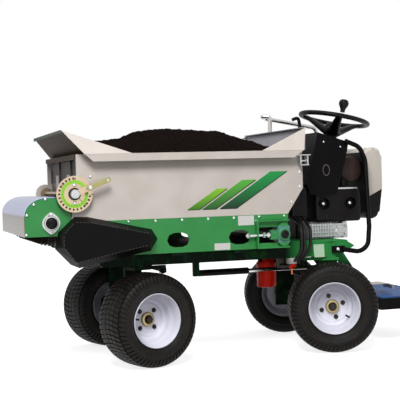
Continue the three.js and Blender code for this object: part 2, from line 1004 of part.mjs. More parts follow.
function takeUpBearing(name, side) {
  const inner = hopper.halfWidth + gap;
  const outer = inner + takeUp.plate;
  const span = (z0, z1) => [
    [takeUp.front, z0],
    [takeUp.rear, z0],
    [takeUp.rear, z1],
    [takeUp.front, z1],
  ];
  const back = sidePlate(outline(span(takeUp.bottom, takeUp.top)), across(side, inner, outer));
  const window = block(
    [takeUp.windowFront, takeUp.windowRear],
    across(side, inner - overrun, outer + overrun),
    [takeUp.windowBottom, takeUp.windowTop],
  );
  const lips = [takeUp.bottom, takeUp.top - takeUp.lipSheet].map((z) =>
    sidePlate(outline(span(z, z + takeUp.lipSheet)), across(side, inner, inner + takeUp.lip)),
  );
  const wall = block(
    [takeUp.front, takeUp.front + takeUp.lipSheet],
    across(side, inner, inner + takeUp.lip),
    [takeUp.bottom, takeUp.top],
  );
  const ways = [takeUp.windowBottom, takeUp.windowTop - weld].map((z) =>
    block([takeUp.windowFront, takeUp.rear], across(side, inner, outer), [z - weld, z + 2 * weld]),
  );
  const faceOuter = inner + takeUp.blockDepth;
  const housing = new THREE.Shape();
  const rise = takeUp.blockHalfZ - takeUp.blockHalfX / 2;
  housing.absarc(tail.x, tail.z + rise, takeUp.blockHalfX, 0.15 * Math.PI, 0.85 * Math.PI);
  housing.absarc(tail.x, tail.z - rise, takeUp.blockHalfX, 1.15 * Math.PI, 1.85 * Math.PI);
  const fork = block(
    [takeUp.forkFront, tail.x],
    across(side, inner + weld, faceOuter - weld),
    [tail.z - takeUp.forkHalf, tail.z + takeUp.forkHalf],
  );
  const forkWindows = [-1, 1].map((way) =>
    block(
      [takeUp.forkWindowX, takeUp.forkWindowX + 2 * takeUp.forkWindow],
      across(side, inner - overrun, faceOuter + overrun),
      [tail.z + way * takeUp.forkWindowZ, tail.z + way * (takeUp.forkWindowZ + takeUp.forkWindow)].sort(
        (a, b) => a - b,
      ),
    ),
  );
  const rod = (ends, radius, count) => bar(
    "x",
    radius,
    ends,
    [side * (inner + takeUp.rodOut), tail.z],
    count,
  );
  const solid = join(
    cut(back, window),
    ...lips,
    wall,
    ...ways,
    sidePlate(housing, across(side, inner, faceOuter), facets.bend + 1),
    cut(fork, ...forkWindows),
    bar(
      "y",
      takeUp.capRadius,
      across(side, faceOuter - weld, faceOuter + takeUp.capDepth),
      [tail.x, tail.z],
      facets.boss,
    ),
    rod([takeUp.rodFront, takeUp.forkFront + overrun], takeUp.rodRadius, facets.pin),
    rod([takeUp.rodFront, takeUp.rodFront + takeUp.nutWidth], takeUp.nutRadius, 6),
    rod([takeUp.nutX, takeUp.nutX + takeUp.nutWidth], takeUp.nutRadius, 6),
  );
  const pocket = bar(
    "y",
    bore(conveyor.shaftRadius),
    across(side, inner - overrun, inner + takeUp.blockDepth - takeUp.plate + gap),
    [tail.x, tail.z],
  );
  add(name, cut(solid, pocket), green);
}

// The gate's rack stands half a tooth deep in the pinion; the gate's plate and the front wall follow
// from it.
const pitchRadius = (gate.pinionTeeth * gate.toothModule) / 2;
const rackPitchX = gate.x - pitchRadius;
const rackRootX = rackPitchX - 1.25 * gate.toothModule;
const gateFace = rackRootX - gate.toothModule;
const wallFront = gateFace + gap + hopper.sheet;

// Hopper: sides with their rolled rails and gussets, the front wall with its flare, and the rear wall.
const flareHalfTop = hopper.halfWidth - hopper.flareInset;
const railFace = hopper.halfWidth + hopper.railReach;
const flareHalfFoot = railFace - hopper.flareInset - hopper.sheet;

function gusset(side, x0, x1, x2) {
  const foot = hopper.top - hopper.sheet / 2;
  const y = side * (railFace - hopper.sheet / 2);
  const corners = [
    [x0, side * (hopper.halfWidth - hopper.gussetSheet), hopper.flareTop],
    [x1, y, foot],
    [x2, y, foot],
  ];
  const facing = (x2 > x1 ? 1 : -1) * side;
  return sheetOn(facing > 0 ? corners.reverse() : corners, hopper.gussetSheet);
}

function hopperSide(name, side) {
  const ys = across(side, hopper.halfWidth - hopper.sheet, hopper.halfWidth);
  const sheet = sidePlate(
    outline([
      [-hopper.frontFoot, hopper.bottom + gap],
      [hopper.rearFoot, hopper.bottom + gap],
      [hopper.rear, hopper.rearKnee],
      [hopper.rear, hopper.top],
      [-hopper.frontTop, hopper.top],
      [-hopper.frontTop, hopper.frontKnee],
    ]),
    ys,
  );
  const ear = bar("y", gate.earRadius, ys, [-gate.x, gate.z], facets.boss);
  const low = hopper.top - hopper.railDrop;
  const shelf = hopper.top - hopper.sheet;
  const inner = hopper.halfWidth - hopper.sheet;
  const railOutline = outline(
    [
      [inner, hopper.top],
      [inner, shelf],
      [railFace - hopper.sheet, shelf],
      [railFace - hopper.sheet, low + hopper.sheet],
      [railFace - hopper.railLip, low + hopper.sheet],
      [railFace - hopper.railLip, low],
      [railFace, low],
      [railFace, hopper.top],
    ].map(([y, z]) => [side * y, z]),
  );
  const rail = lengthwise(railOutline, [-hopper.frontFlareTop, hopper.rearFlareTop]);
  const bevel = (xTop, xLow, beyond) =>
    sidePlate(
      outline([
        [xTop, hopper.top + overrun],
        [xTop, hopper.top],
        [xLow, low],
        [xLow, low - overrun],
        [beyond, low - overrun],
        [beyond, hopper.top + overrun],
      ]),
      across(side, inner - overrun, railFace + overrun),
    );
  const trimmed = cut(
    rail,
    bevel(-hopper.railFrontTop, -hopper.railFrontLow, -hopper.frontFlareTop - overrun),
    bevel(hopper.railRearTop, hopper.railRearLow, hopper.rearFlareTop + overrun),
  );
  const guides = [-1, 1].map((face) => {
    const front = -gateFace - (face < 0 ? gate.guideDepth + gap : -gate.plateThickness - gap);
    return block(
      [front, front + gate.guideDepth],
      across(side, inner - gate.guideWidth, inner + weld),
      [hopper.bottom + gate.guideWidth, hopper.frontKnee - gate.guideWidth],
    );
  });
  const solid = join(
    sheet,
    ear,
    trimmed,
    gusset(side, -hopper.frontFlareTop, -hopper.railFrontTop, -hopper.frontGussetEnd),
    gusset(side, hopper.rearFlareTop, hopper.railRearTop, hopper.rearGussetEnd),
    ...guides,
  );
  const shaftHole = bar(
    "y",
    bore(gate.shaftRadius),
    across(side, inner - overrun, hopper.halfWidth + overrun),
    [-gate.x, gate.z],
  );
  add(name, cut(solid, shaftHole), beige);
}

const wallInnerHalf = hopper.halfWidth - hopper.sheet - gap;

function frontWall() {
  const wallX = -wallFront;
  const sheet = block(
    [wallX, wallX + hopper.sheet],
    [-wallInnerHalf, wallInnerHalf],
    [hopper.frontKnee, hopper.top],
  );
  const header = block(
    [-hopper.frontTop - hopper.headerWidth / 2, wallX + weld],
    [-wallInnerHalf, wallInnerHalf],
    [hopper.top - hopper.headerHeight, hopper.top],
  );
  const shelf = block(
    [wallX, -hopper.frontFlareFoot + hopper.headerWidth],
    [-wallInnerHalf, wallInnerHalf],
    [hopper.top - hopper.sheet, hopper.top + hopper.flareRise],
  );
  const ribs = [-hopper.ribOffset, hopper.ribOffset].map((y) =>
    sidePlate(
      outline([
        [wallX - hopper.ribDepth, hopper.frontKnee],
        [wallX + weld, hopper.frontKnee],
        [wallX + weld, hopper.top - weld],
        [wallX - hopper.ribDepth, hopper.top - weld],
      ]),
      [y - hopper.ribWidth / 2, y + hopper.ribWidth / 2],
    ),
  );
  const foot = hopper.top + hopper.flareRise - weld;
  const flare = sheetOn(
    [
      [-hopper.frontFlareFoot, -flareHalfFoot, foot],
      [-hopper.frontFlareFoot, flareHalfFoot, foot],
      [-hopper.frontFlareTop, flareHalfTop, hopper.flareTop],
      [-hopper.frontFlareTop, -flareHalfTop, hopper.flareTop],
    ],
    hopper.sheet,
  );
  const hem = block(
    [-hopper.frontFlareTop - hopper.hemThickness, -hopper.frontFlareTop + weld],
    [-flareHalfTop, flareHalfTop],
    [hopper.flareTop - hopper.hemDepth, hopper.flareTop + weld],
  );
  const notches = [-gate.pinionY, gate.pinionY].map((y) =>
    block(
      [wallX - overrun, wallX + hopper.sheet + overrun],
      [y - gate.rackWidth / 2 - gate.notchSide, y + gate.rackWidth / 2 + gate.notchSide],
      [hopper.frontKnee - overrun, gate.z + gate.rackHeadroom + gate.travel + gate.notchSide],
    ),
  );
  add("front_wall", cut(join(sheet, header, shelf, ...ribs, flare, hem), ...notches), beige);
}

function rearWall() {
  const inner = hopper.rear - hopper.sheet;
  const sheet = sidePlate(
    outline([
      [hopper.rearFoot - hopper.sheet, hopper.wallFoot],
      [hopper.rearFoot, hopper.wallFoot],
      [hopper.rearFoot, hopper.bottom],
      [hopper.rear, hopper.rearKnee],
      [hopper.rear, hopper.top + hopper.flareRise],
      [inner, hopper.top + hopper.flareRise],
      [inner, hopper.rearKnee + weld],
      [hopper.rearFoot - hopper.sheet, hopper.bottom + weld],
    ]),
    [-wallInnerHalf, wallInnerHalf],
  );
  const foot = hopper.top + 3 * gap;
  const flare = sheetOn(
    [
      [inner, -flareHalfFoot, foot],
      [inner, flareHalfFoot, foot],
      [hopper.rearFlareTop - hopper.sheet, flareHalfTop, hopper.flareTop],
      [hopper.rearFlareTop - hopper.sheet, -flareHalfTop, hopper.flareTop],
    ],
    hopper.sheet,
  );
  const hem = block(
    [hopper.rearFlareTop - hopper.rearHem, hopper.rearFlareTop + hopper.sheet],
    [-flareHalfTop, flareHalfTop],
    [hopper.flareTop - hopper.hemThickness / 2, hopper.flareTop + hopper.hemThickness / 2],
  );
  add("rear_wall", join(sheet, flare, hem), beige);
}

// Metering gate: a plate with racks, raised by pinions on a cross shaft that the dial lever turns.
function meteringGate() {
  const half = wallInnerHalf;
  const front = -gateFace;
  const plate = block([front, front + gate.plateThickness], [-half, half], [gate.plateFoot, gate.plateTop]);
  const lip = block(
    [front - gate.lipDepth, front + weld],
    [-half + gate.guideWidth + gate.sideGap, half - gate.guideWidth - gate.sideGap],
    [gate.plateFoot, gate.plateFoot + gate.lipHeight],
  );
  const pitch = Math.PI * gate.toothModule;
  const top = gate.z + gate.rackHeadroom;
  const count = Math.ceil((gate.travel + 2 * gate.rackHeadroom) / pitch);
  const points = [[front + weld, top - (count - 0.5) * pitch]];
  const teeth = [];
  for (let i = 0; i < count; i++) {
    const z = gate.z - (i - 1) * pitch;
    const root = -rackRootX;
    const tip = -rackPitchX - 0.6 * gate.toothModule;
    teeth.push(
      [root, z + 0.42 * pitch],
      [tip, z + 0.12 * pitch],
      [tip, z - 0.12 * pitch],
      [root, z - 0.42 * pitch],
    );
  }
  points[0][1] = teeth[teeth.length - 1][1];
  const strip = outline([[front + weld, teeth[0][1]], ...teeth, points[0]]);
  const racks = [-gate.pinionY, gate.pinionY].map((y) =>
    sidePlate(strip, [y - gate.rackWidth / 2, y + gate.rackWidth / 2]),
  );
  add("metering_gate", join(plate, lip, ...racks), steel);
}

function gateShaft() {
  const end = hopper.halfWidth + dial.standOff + dial.thickness + dial.hubLength - 2 * weld;
  const shaft = bar("y", gate.shaftRadius, [-end, hopper.halfWidth + gate.farCollar], [-gate.x, gate.z]);
  // A pinion tooth stands half a pitch away from the rack tooth at its height.
  const shape = toothedShape(pitchRadius, gate.pinionTeeth, gate.toothModule * 0.75);
  const halfTooth = Math.PI / gate.pinionTeeth;
  const pinions = [-gate.pinionY, gate.pinionY].map((y) =>
    sidePlate(shape, [-gate.pinionWidth / 2, gate.pinionWidth / 2])
      .rotateY(-halfTooth)
      .translate(-gate.x, y, gate.z),
  );
  const collar = bar(
    "y",
    gate.farCollarRadius,
    [hopper.halfWidth + gap, hopper.halfWidth + gate.farCollar],
    [-gate.x, gate.z],
    facets.boss,
  );
  add("gate_shaft", join(shaft, ...pinions, collar), zinc);
}

function gateDial() {
  const back = hopper.halfWidth + gap;
  const face = hopper.halfWidth + dial.standOff;
  const disc = bar("y", dial.radius, [-face - dial.thickness, -face], [-gate.x, gate.z], facets.wheel);
  const spacer = bar("y", dial.spacerRadius, [-face - weld, -back], [-gate.x, gate.z], facets.boss);
  const lugs = [-1, 1].map((way) =>
    bar(
      "y",
      dial.boltRadius * 1.5,
      [-face - weld, -back],
      [-gate.x, gate.z + way * (dial.spacerRadius + dial.boltRadius)],
      facets.pin,
    ),
  );
  const slots = Array.from({ length: dial.slots }, (_, i) => {
    const angle = dial.slotStart + (dial.slotSweep * i) / (dial.slots - 1);
    return block(
      [dial.slotInner, dial.slotOuter],
      [-face - dial.thickness - overrun, -face + overrun],
      [-dial.slotWidth / 2, dial.slotWidth / 2],
    )
      .rotateY(-angle)
      .translate(-gate.x, 0, gate.z);
  });
  const centre = bar(
    "y",
    bore(gate.shaftRadius),
    [-face - dial.thickness - overrun, -back + overrun],
    [-gate.x, gate.z],
  );
  add("gate_dial", cut(join(disc, spacer, ...lugs), ...slots, centre), zinc);
}

function dialLever() {
  const face = hopper.halfWidth + dial.standOff + dial.thickness + gap;
  const armFace = face + dial.hubLength / 4;
  const hub = bar("y", dial.hubRadius, [-face - dial.hubLength, -face], [0, 0], facets.boss);
  const arm = block(
    [0, dial.armReach],
    [-armFace - dial.armThickness, -armFace],
    [-dial.armWidth / 2, dial.armWidth / 2],
  );
  const eye = bar(
    "y",
    dial.armWidth / 2,
    [-armFace - dial.armThickness, -armFace],
    [dial.armReach, 0],
    facets.bar,
  );
  const handleFace = armFace + dial.armThickness + dial.handleStep;
  const root = dial.armReach - dial.handleWidth / 2;
  const handle = block(
    [root, dial.handleReach - dial.handleWidth / 2],
    [-handleFace - dial.handleThickness, -handleFace],
    [-dial.handleWidth / 2, dial.handleWidth / 2],
  );
  const tip = bar(
    "y",
    dial.handleWidth / 2,
    [-handleFace - dial.handleThickness, -handleFace],
    [dial.handleReach - dial.handleWidth / 2, 0],
    facets.boss,
  );
  const bolt = bar(
    "y",
    dial.boltRadius,
    [-handleFace - dial.handleThickness - dial.handleStep, -armFace],
    [dial.armReach, 0],
    facets.pin,
  );
  const hole = bar(
    "y",
    dial.holeRadius,
    [-handleFace - dial.handleThickness - overrun, -handleFace + overrun],
    [dial.handleReach - dial.handleWidth / 2, 0],
    facets.bar,
  );
  const shaftHole = bar(
    "y",
    bore(gate.shaftRadius),
    [-face - dial.hubLength + weld, -face + overrun],
    [0, 0],
  );
  const solid = cut(join(hub, arm, eye, handle, tip, bolt), hole, shaftHole);
  add("dial_lever", solid, zinc).position.set(-gate.x, 0, gate.z);
  machine.children[machine.children.length - 1].rotation.y = -dial.leverRest;
}

// Rotary brush, its cover, end plates, bearing and motor.
function coverPoints(inset, rear) {
  const points = [[-brush.coverRear + rear, brush.coverTop - inset]];
  const width = brush.coverFront - brush.coverBendX - inset;
  const height = brush.coverTop - brush.coverKneeZ - inset;
  const steps = 5;
  for (let i = 0; i <= steps; i++) {
    const angle = Math.PI / 2 + (Math.PI / 2) * (i / steps);
    points.push([-brush.coverBendX + width * Math.cos(angle), brush.coverKneeZ + height * Math.sin(angle)]);
  }
  points.push([-brush.coverFront + inset, brush.coverBottom]);
  return points;
}

function brushPlate(name, side) {
  const ys = across(side, hopper.halfWidth - brush.plateSheet, hopper.halfWidth);
  const right = -hopper.frontFoot - 2 * gap;
  const profile = coverPoints(brush.coverSheet + gap, 0);
  const shape = outline(
    [...profile.slice(1), [right, brush.coverBottom], [right, brush.coverTop - brush.coverSheet - gap]],
  );
  const tools = [
    bar("y", bore(brush.shaftRadius), [ys[0] - overrun, ys[1] + overrun], [-brush.x, brush.z]),
    bar("y", gate.earRadius + 2 * gap, [ys[0] - overrun, ys[1] + overrun], [-gate.x, gate.z], facets.boss),
  ];
  add(name, cut(sidePlate(shape, ys), ...tools), green);
}

function brushCover() {
  const outer = coverPoints(0, 0);
  const inner = coverPoints(brush.coverSheet, 0).reverse();
  add(
    "brush_cover",
    sidePlate(outline([...outer, ...inner]), [-brush.coverHalf, brush.coverHalf]),
    stainless,
  );
}

function rotaryBrush() {
  const core = bar("y", brush.coreRadius, [-brush.half, brush.half], [0, 0], brush.coreSides);
  const nearEnd = hopper.halfWidth + bearing.flange;
  const shaft = bar("y", brush.shaftRadius, [-nearEnd, hopper.halfWidth + brushMotor.portRadius], [0, 0]);
  const step = (2 * brush.half - 2 * brush.tuftRoot) / (brush.perRow - 1 + brush.stagger);
  const facet = (2 * Math.PI) / brush.coreSides;
  const root = brush.coreRadius - 2 * weld;
  const tuft = (y, angle) => {
    const strand = new THREE.ConeGeometry(brush.tuftRoot, brush.radius - root, 3, 1, false, Math.PI / 2);
    strand.translate(0, (brush.radius + root) / 2, 0).rotateZ(-Math.PI / 2);
    return toSolid(strand.rotateY(angle).translate(0, y, 0));
  };
  const tufts = [];
  for (let row = 0; row < brush.rows; row++) {
    for (let i = 0; i < brush.perRow; i++) {
      const y = -brush.half + brush.tuftRoot + step * (i + brush.stagger * (row % 2));
      const lead = Math.floor((brush.leadFacets * i) / brush.perRow);
      tufts.push(tuft(y, facet * ((row * brush.coreSides) / brush.rows + lead + 0.5)));
    }
  }
  const whole = tufts.reduce((body, tuft) => body.add(tuft), toSolid(join(core, shaft)));
  add("rotary_brush", fromSolid(whole), black).position.set(-brush.x, 0, brush.z);
}

function flange(side, depth) {
  const back = hopper.halfWidth + gap;
  const ys = across(side, back, back + depth);
  const arc = Math.asin((bearing.radius - bearing.lobeRadius) / bearing.lobeOffset);
  const shape = new THREE.Shape();
  shape.absarc(0, 0, bearing.radius, -arc, arc);
  shape.absarc(0, bearing.lobeOffset, bearing.lobeRadius, arc, Math.PI - arc);
  shape.absarc(0, 0, bearing.radius, Math.PI - arc, Math.PI + arc);
  shape.absarc(0, -bearing.lobeOffset, bearing.lobeRadius, Math.PI + arc, 2 * Math.PI - arc);
  return sidePlate(shape, ys, facets.bend).translate(-brush.x, 0, brush.z);
}

function brushBearing() {
  const face = hopper.halfWidth + gap + bearing.flange;
  const at = [-brush.x, brush.z];
  const ring = bar("y", bearing.ringRadius, [-face - bearing.ring, -face + weld], at, facets.boss);
  const capBack = face + bearing.ring - weld;
  const cap = bar("y", bearing.capRadius, [-capBack - bearing.capDepth / 2, -capBack], at, facets.boss);
  const dome = bar(
    "y",
    bearing.capRadius * 0.62,
    [-capBack - bearing.capDepth, -capBack - bearing.capDepth / 2 + weld],
    at,
    facets.boss,
    bearing.capRadius * 0.96,
  );
  const hole = bar("y", bore(brush.shaftRadius), [-face - gap, -hopper.halfWidth + overrun], at);
  add("brush_bearing", cut(join(flange(-1, bearing.flange), ring, cap, dome), hole), aluminium);
}

function brushDriveMotor() {
  const back = hopper.halfWidth + gap;
  const face = back + bearing.flange;
  const at = [-brush.x, brush.z];
  const body = bar("y", brushMotor.radius, [face - weld, face + brushMotor.length], at, facets.boss);
  const portY = face + brushMotor.length / 2;
  const ports = [-1, 1].map((way) =>
    bar(
      "z",
      brushMotor.portRadius,
      [brush.z + brushMotor.radius - 2 * weld, brush.z + brushMotor.radius + brushMotor.portHeight],
      [-brush.x + (way * brushMotor.portSpacing) / 2, portY],
      facets.bar,
    ),
  );
  const hole = bar(
    "y",
    bore(brush.shaftRadius),
    [hopper.halfWidth - overrun, back + brushMotor.portRadius],
    at,
  );
  add("brush_motor", cut(join(flange(1, bearing.flange), body, ...ports), hole), black);
}

// Chain drive of the conveyor and its guard.
function motorSprocket() {
  const at = [-drive.smallX, drive.smallZ];
  const parts = sprocket(at[0], at[1], drive.smallRadius, drive.smallTeeth, drive.shaftRadius);
  const inner = plateInner - drive.boreDepth;
  const shaft = bar("y", drive.shaftRadius, [-drive.plane - drive.hubDepth / 2, -inner], at);
  add("motor_sprocket", join(...parts, shaft), steel);
}

function conveyorMotor() {
  const at = [-drive.smallX, drive.smallZ];
  const face = plateInner - gap;
  const body = bar("y", drive.motorRadius, [-face, -face + drive.motorLength], at, facets.boss);
  const hole = bar("y", bore(drive.shaftRadius), [-face - overrun, -face + drive.boreDepth + gap], at);
  add("conveyor_motor", cut(body, hole), black);
}

function driveChain() {
  const big = { x: head.x, z: head.z, radius: drive.bigRadius };
  const small = { x: -drive.smallX, z: drive.smallZ, radius: drive.smallRadius };
  const inset = drive.toothHeight / 2 + 4 * gap;
  const ys = [-drive.plane - drive.chainWidth / 2, -drive.plane + drive.chainWidth / 2];
  add("drive_chain", loopBand(big, small, inset, drive.chainThickness, ys, facets.boss), steel);
}

function chainGuard() {
  const ring = (which, inset, y) => {
    const flat = guard.corners.map(
      (pair) => new THREE.Vector2(head.x + pair[which][0], head.z + pair[which][1]),
    );
    return flat.map((point, i) => {
      const before = flat[(i + flat.length - 1) % flat.length];
      const after = flat[(i + 1) % flat.length];
      const entering = point.clone().sub(before).normalize();
      const leaving = after.clone().sub(point).normalize();
      const inward = new THREE.Vector2(-entering.y - leaving.y, entering.x + leaving.x);
      const reach = inset / (1 + entering.dot(leaving));
      return new THREE.Vector3(point.x + inward.x * reach, y, point.y + inward.y * reach);
    });
  };
  const back = -hopper.halfWidth - gap;
  const shell = loft(ring(0, 0, back), ring(1, 0, back - guard.depth));
  const hollow = loft(ring(0, guard.wall, back + gap), ring(1, guard.wall, back - guard.depth + guard.wall));
  add("chain_guard", cut(shell, hollow), black);
}

// Engine, its covers and the oil filter.
const deckTop = railTop + gap + engine.deckThickness;

function engineBlock() {
  const bottom = deckTop + gap;
  const crankcase = block(
    [engine.blockFront, engine.blockRear],
    [-engine.blockHalf, engine.blockHalf],
    [bottom, engine.headTop],
  );
  const heads = sides.flatMap(([, side]) => {
    const root = engine.blockHalf - weld;
    const core = block(
      [engine.headFront + engine.finThickness, engine.headRear - engine.finThickness],
      across(side, root, engine.headHalf - engine.finThickness),
      [bottom + engine.finThickness, engine.headTop],
    );
    const pitch = (engine.headRear - engine.headFront - engine.finThickness) / (engine.fins - 1);
    const fins = Array.from({ length: engine.fins }, (_, i) => {
      const x = engine.headFront + pitch * i;
      const depth = across(side, root, engine.headHalf);
      return block([x, x + engine.finThickness], depth, [bottom, engine.headTop]);
    });
    return [core, ...fins];
  });
  add("engine_block", join(crankcase, ...heads), aluminium);
}

function roundedOutline(x0, x1, z0, z1, corner) {
  const shape = new THREE.Shape();
  shape.absarc(x1 - corner, z0 + corner, corner, -Math.PI / 2, 0);
  shape.absarc(x1 - corner, z1 - corner, corner, 0, Math.PI / 2);
  shape.absarc(x0 + corner, z1 - corner, corner, Math.PI / 2, Math.PI);
  shape.absarc(x0 + corner, z0 + corner, corner, Math.PI, (3 * Math.PI) / 2);
  return shape;
}

function engineShroud() {
  const body = sidePlate(
    roundedOutline(
      engine.shroudFront,
      engine.shroudRear,
      engine.shroudBottom,
      engine.shroudTop,
      engine.shroudCorner,
    ),
    [-engine.shroudHalf, engine.shroudHalf],
    4,
  );
  const dome = bar(
    "y",
    engine.domeRadius,
    [-engine.domeHalf, engine.domeHalf],
    [engine.domeX, engine.domeZ],
    facets.drum,
  );
  const neck = block(
    [engine.shroudRear - overrun, engine.coverFront - gap],
    [-engine.neckHalf, engine.neckHalf],
    [engine.neckBottom, engine.neckTop],
  );
  const domeNeck = block(
    [engine.domeX - engine.domeNeckHalf, engine.domeX + engine.domeNeckHalf - engine.shroudCorner],
    [-engine.neckHalf, engine.neckHalf],
    [engine.shroudTop - weld, engine.domeZ],
  );
  const recesses = [engine.recessOneX, engine.recessTwoX].flatMap((x) =>
    sides.map(([, side]) => {
      const ys = across(side, engine.shroudHalf - engine.recessDepth, engine.shroudHalf + overrun);
      const ring = bar("y", engine.recessRadius, ys, [x, engine.recessZ], facets.boss);
      const depth = across(side, engine.shroudHalf - engine.recessDepth, engine.shroudHalf - weld);
      const boss = bar("y", engine.bossRadius, depth, [x, engine.recessZ], facets.pin);
      return cut(ring, boss);
    }),
  );
  add("engine_shroud", cut(join(body, dome, domeNeck, neck), ...recesses), black);
}

function fanCover() {
  const shape = new THREE.Shape();
  shape.moveTo(engine.coverFront, engine.coverBottom);
  shape.lineTo(engine.coverFront + engine.shroudCorner, engine.coverBottom);
  shape.quadraticCurveTo(engine.coverLowX, engine.coverBottom, engine.coverLowX, engine.coverLowZ);
  shape.lineTo(engine.coverRear, engine.coverTop - 2 * engine.coverTopBend);
  shape.lineTo(engine.coverRear, engine.coverTop - 1.6 * engine.coverTopBend);
  shape.quadraticCurveTo(engine.coverRear, engine.coverTop, engine.coverFront, engine.coverTop);
  const body = new THREE.ExtrudeGeometry(shape, {
    depth: 2 * (engine.coverHalf - engine.shroudCorner),
    bevelThickness: engine.shroudCorner,
    bevelSize: engine.shroudCorner / 2,
    bevelOffset: -engine.shroudCorner / 2,
    bevelSegments: 2,
    curveSegments: 6,
  });
  body.rotateX(Math.PI / 2).translate(0, engine.coverHalf - engine.shroudCorner, 0);
  add("fan_cover", body, ivory);
}

function oilFilter() {
  const can = new THREE.LatheGeometry(
    [
      [0, filter.bottom],
      [filter.radius - filter.edge, filter.bottom],
      [filter.radius, filter.bottom + filter.edge],
      [filter.radius, filter.top],
      [0, filter.top],
    ].map(([r, z]) => new THREE.Vector2(r, z)),
    facets.drum,
  )
    .rotateX(Math.PI / 2)
    .translate(filter.x, -filter.y, 0);
  const ys = [-filter.y - filter.headHalf, -filter.y + filter.headHalf];
  const head = block(
    [filter.x - filter.headHalf, filter.x + filter.headHalf],
    ys,
    [filter.top - weld, filter.headTop],
  );
  const face = kingpinX - frame.crossWidth / 2 - gap;
  const armYs = [-filter.y - filter.armHalf, -filter.y + filter.armHalf];
  const bracket = block([filter.x, face], armYs, [filter.headTop - filter.edge, filter.headTop]);
  const foot = block(
    [face - filter.edge, face],
    armYs,
    [filter.headTop - filter.edge, frame.railBottom + 2 * filter.edge],
  );
  add("oil_filter", join(can, head, bracket, foot), red);
}

// Operator station: a folded-sheet console over the front of the engine, open underneath and behind.
const consoleSlope =
  (consoleBox.topFrontZ - consoleBox.topRearZ) / (consoleBox.topRearX - consoleBox.topFrontX);
const consoleTopZ = (x) => consoleBox.topFrontZ - consoleSlope * (x - consoleBox.topFrontX);

const leverPivotZ = consoleTopZ(consoleBox.leverX) + consoleBox.leverEarHeight - lever.barrel;

function onColumn(geometry) {
  return geometry.rotateX(Math.PI / 2).rotateY(steering.tilt).translate(steering.x, 0, steering.z);
}

function consoleUnit() {
  const shape = new THREE.Shape();
  const middle = (consoleBox.lowFrontX + consoleBox.lowRearX) / 2;
  shape.moveTo(consoleBox.lowFrontX, consoleBox.lowFrontZ);
  shape.quadraticCurveTo(consoleBox.lowFrontX, consoleBox.footZ, middle, consoleBox.footZ);
  shape.quadraticCurveTo(consoleBox.lowRearX, consoleBox.footZ, consoleBox.lowRearX, consoleBox.lowRearZ);
  shape.lineTo(consoleBox.rearKneeX, consoleBox.rearKneeZ);
  shape.lineTo(consoleBox.topRearX, consoleBox.topRearZ);
  shape.lineTo(consoleBox.topFrontX, consoleBox.topFrontZ);
  const body = sidePlate(shape, [-consoleBox.half, consoleBox.half], facets.bend);
  const inner = consoleBox.half - consoleBox.sheet;
  const low = consoleBox.footZ - overrun;
  const lean = (consoleBox.topFrontX - consoleBox.lowFrontX) / (consoleBox.topFrontZ - consoleBox.lowFrontZ);
  const frontX = (z) => consoleBox.lowFrontX + lean * (z - consoleBox.lowFrontZ) + consoleBox.sheet;
  const beyond = consoleBox.shelfRear + overrun;
  const ceiling = (x) => consoleTopZ(x) - consoleBox.sheet;
  const top = consoleBox.topFrontX + consoleBox.sheet;
  const hollow = outline([
    [frontX(low), low],
    [beyond, low],
    [beyond, ceiling(beyond)],
    [top, ceiling(top)],
  ]);
  const shell = cut(body, sidePlate(hollow, [-inner, inner]));
  const shelf = sidePlate(
    outline([
      [consoleBox.topFrontX + overrun, ceiling(consoleBox.topFrontX + overrun)],
      [consoleBox.shelfRear, ceiling(consoleBox.shelfRear)],
      [consoleBox.shelfRear, consoleTopZ(consoleBox.shelfRear)],
      [consoleBox.topFrontX + overrun, consoleTopZ(consoleBox.topFrontX + overrun)],
    ]),
    [-consoleBox.shelfHalf, consoleBox.shelfHalf],
  );
  const legRear = engine.headFront - consoleBox.legThickness;
  const leg = sidePlate(
    outline([
      [legRear - consoleBox.legThickness, deckTop + gap],
      [legRear, deckTop + gap],
      [legRear, consoleBox.lowFrontZ],
      [legRear + 2 * consoleBox.legThickness, consoleBox.lowFrontZ + 8 * consoleBox.legThickness],
      [legRear + consoleBox.legThickness, consoleBox.lowFrontZ + 8 * consoleBox.legThickness],
      [legRear - consoleBox.legThickness, consoleBox.lowFrontZ],
    ]),
    [-consoleBox.legHalf, consoleBox.legHalf],
  );
  const reach = steering.columnFoot - steering.hubBottom - gap;
  const column = onColumn(
    new THREE.CylinderGeometry(
      consoleBox.columnRadius,
      consoleBox.columnRadius + consoleBox.columnFlare,
      reach,
      facets.boss,
    )
      .translate(0, -reach / 2 - steering.hubBottom - gap, 0),
  );
  const ears = [-1, 1].map((way) => {
    const root = consoleBox.leverY + way * consoleBox.leverGap;
    const ys = [root, root + way * consoleBox.leverEar].sort((a, b) => a - b);
    const crest = consoleTopZ(consoleBox.leverX) + consoleBox.leverEarHeight;
    const half = consoleBox.leverEarHeight / 2;
    const x = consoleBox.leverX;
    const base = consoleTopZ(x + half) - consoleBox.sheet / 2;
    return sidePlate(
      outline([[x - half, base], [x + half, base], [x + half / 2, crest], [x - half / 2, crest]]),
      ys,
    );
  });
  const bored = onColumn(
    new THREE.CylinderGeometry(bore(steering.shaftRadius), bore(steering.shaftRadius), reach, facets.bar)
      .translate(0, -reach / 2 - steering.hubBottom + overrun, 0),
  );
  const leverPin = bar(
    "y",
    lever.barrel / 2,
    [consoleBox.leverY - consoleBox.leverGap - weld, consoleBox.leverY + consoleBox.leverGap + weld],
    [consoleBox.leverX, leverPivotZ],
    facets.pin,
  );
  const solid = cut(join(shell, shelf, leg, column, ...ears), bored);
  add("console", join(solid, leverPin), black);
}

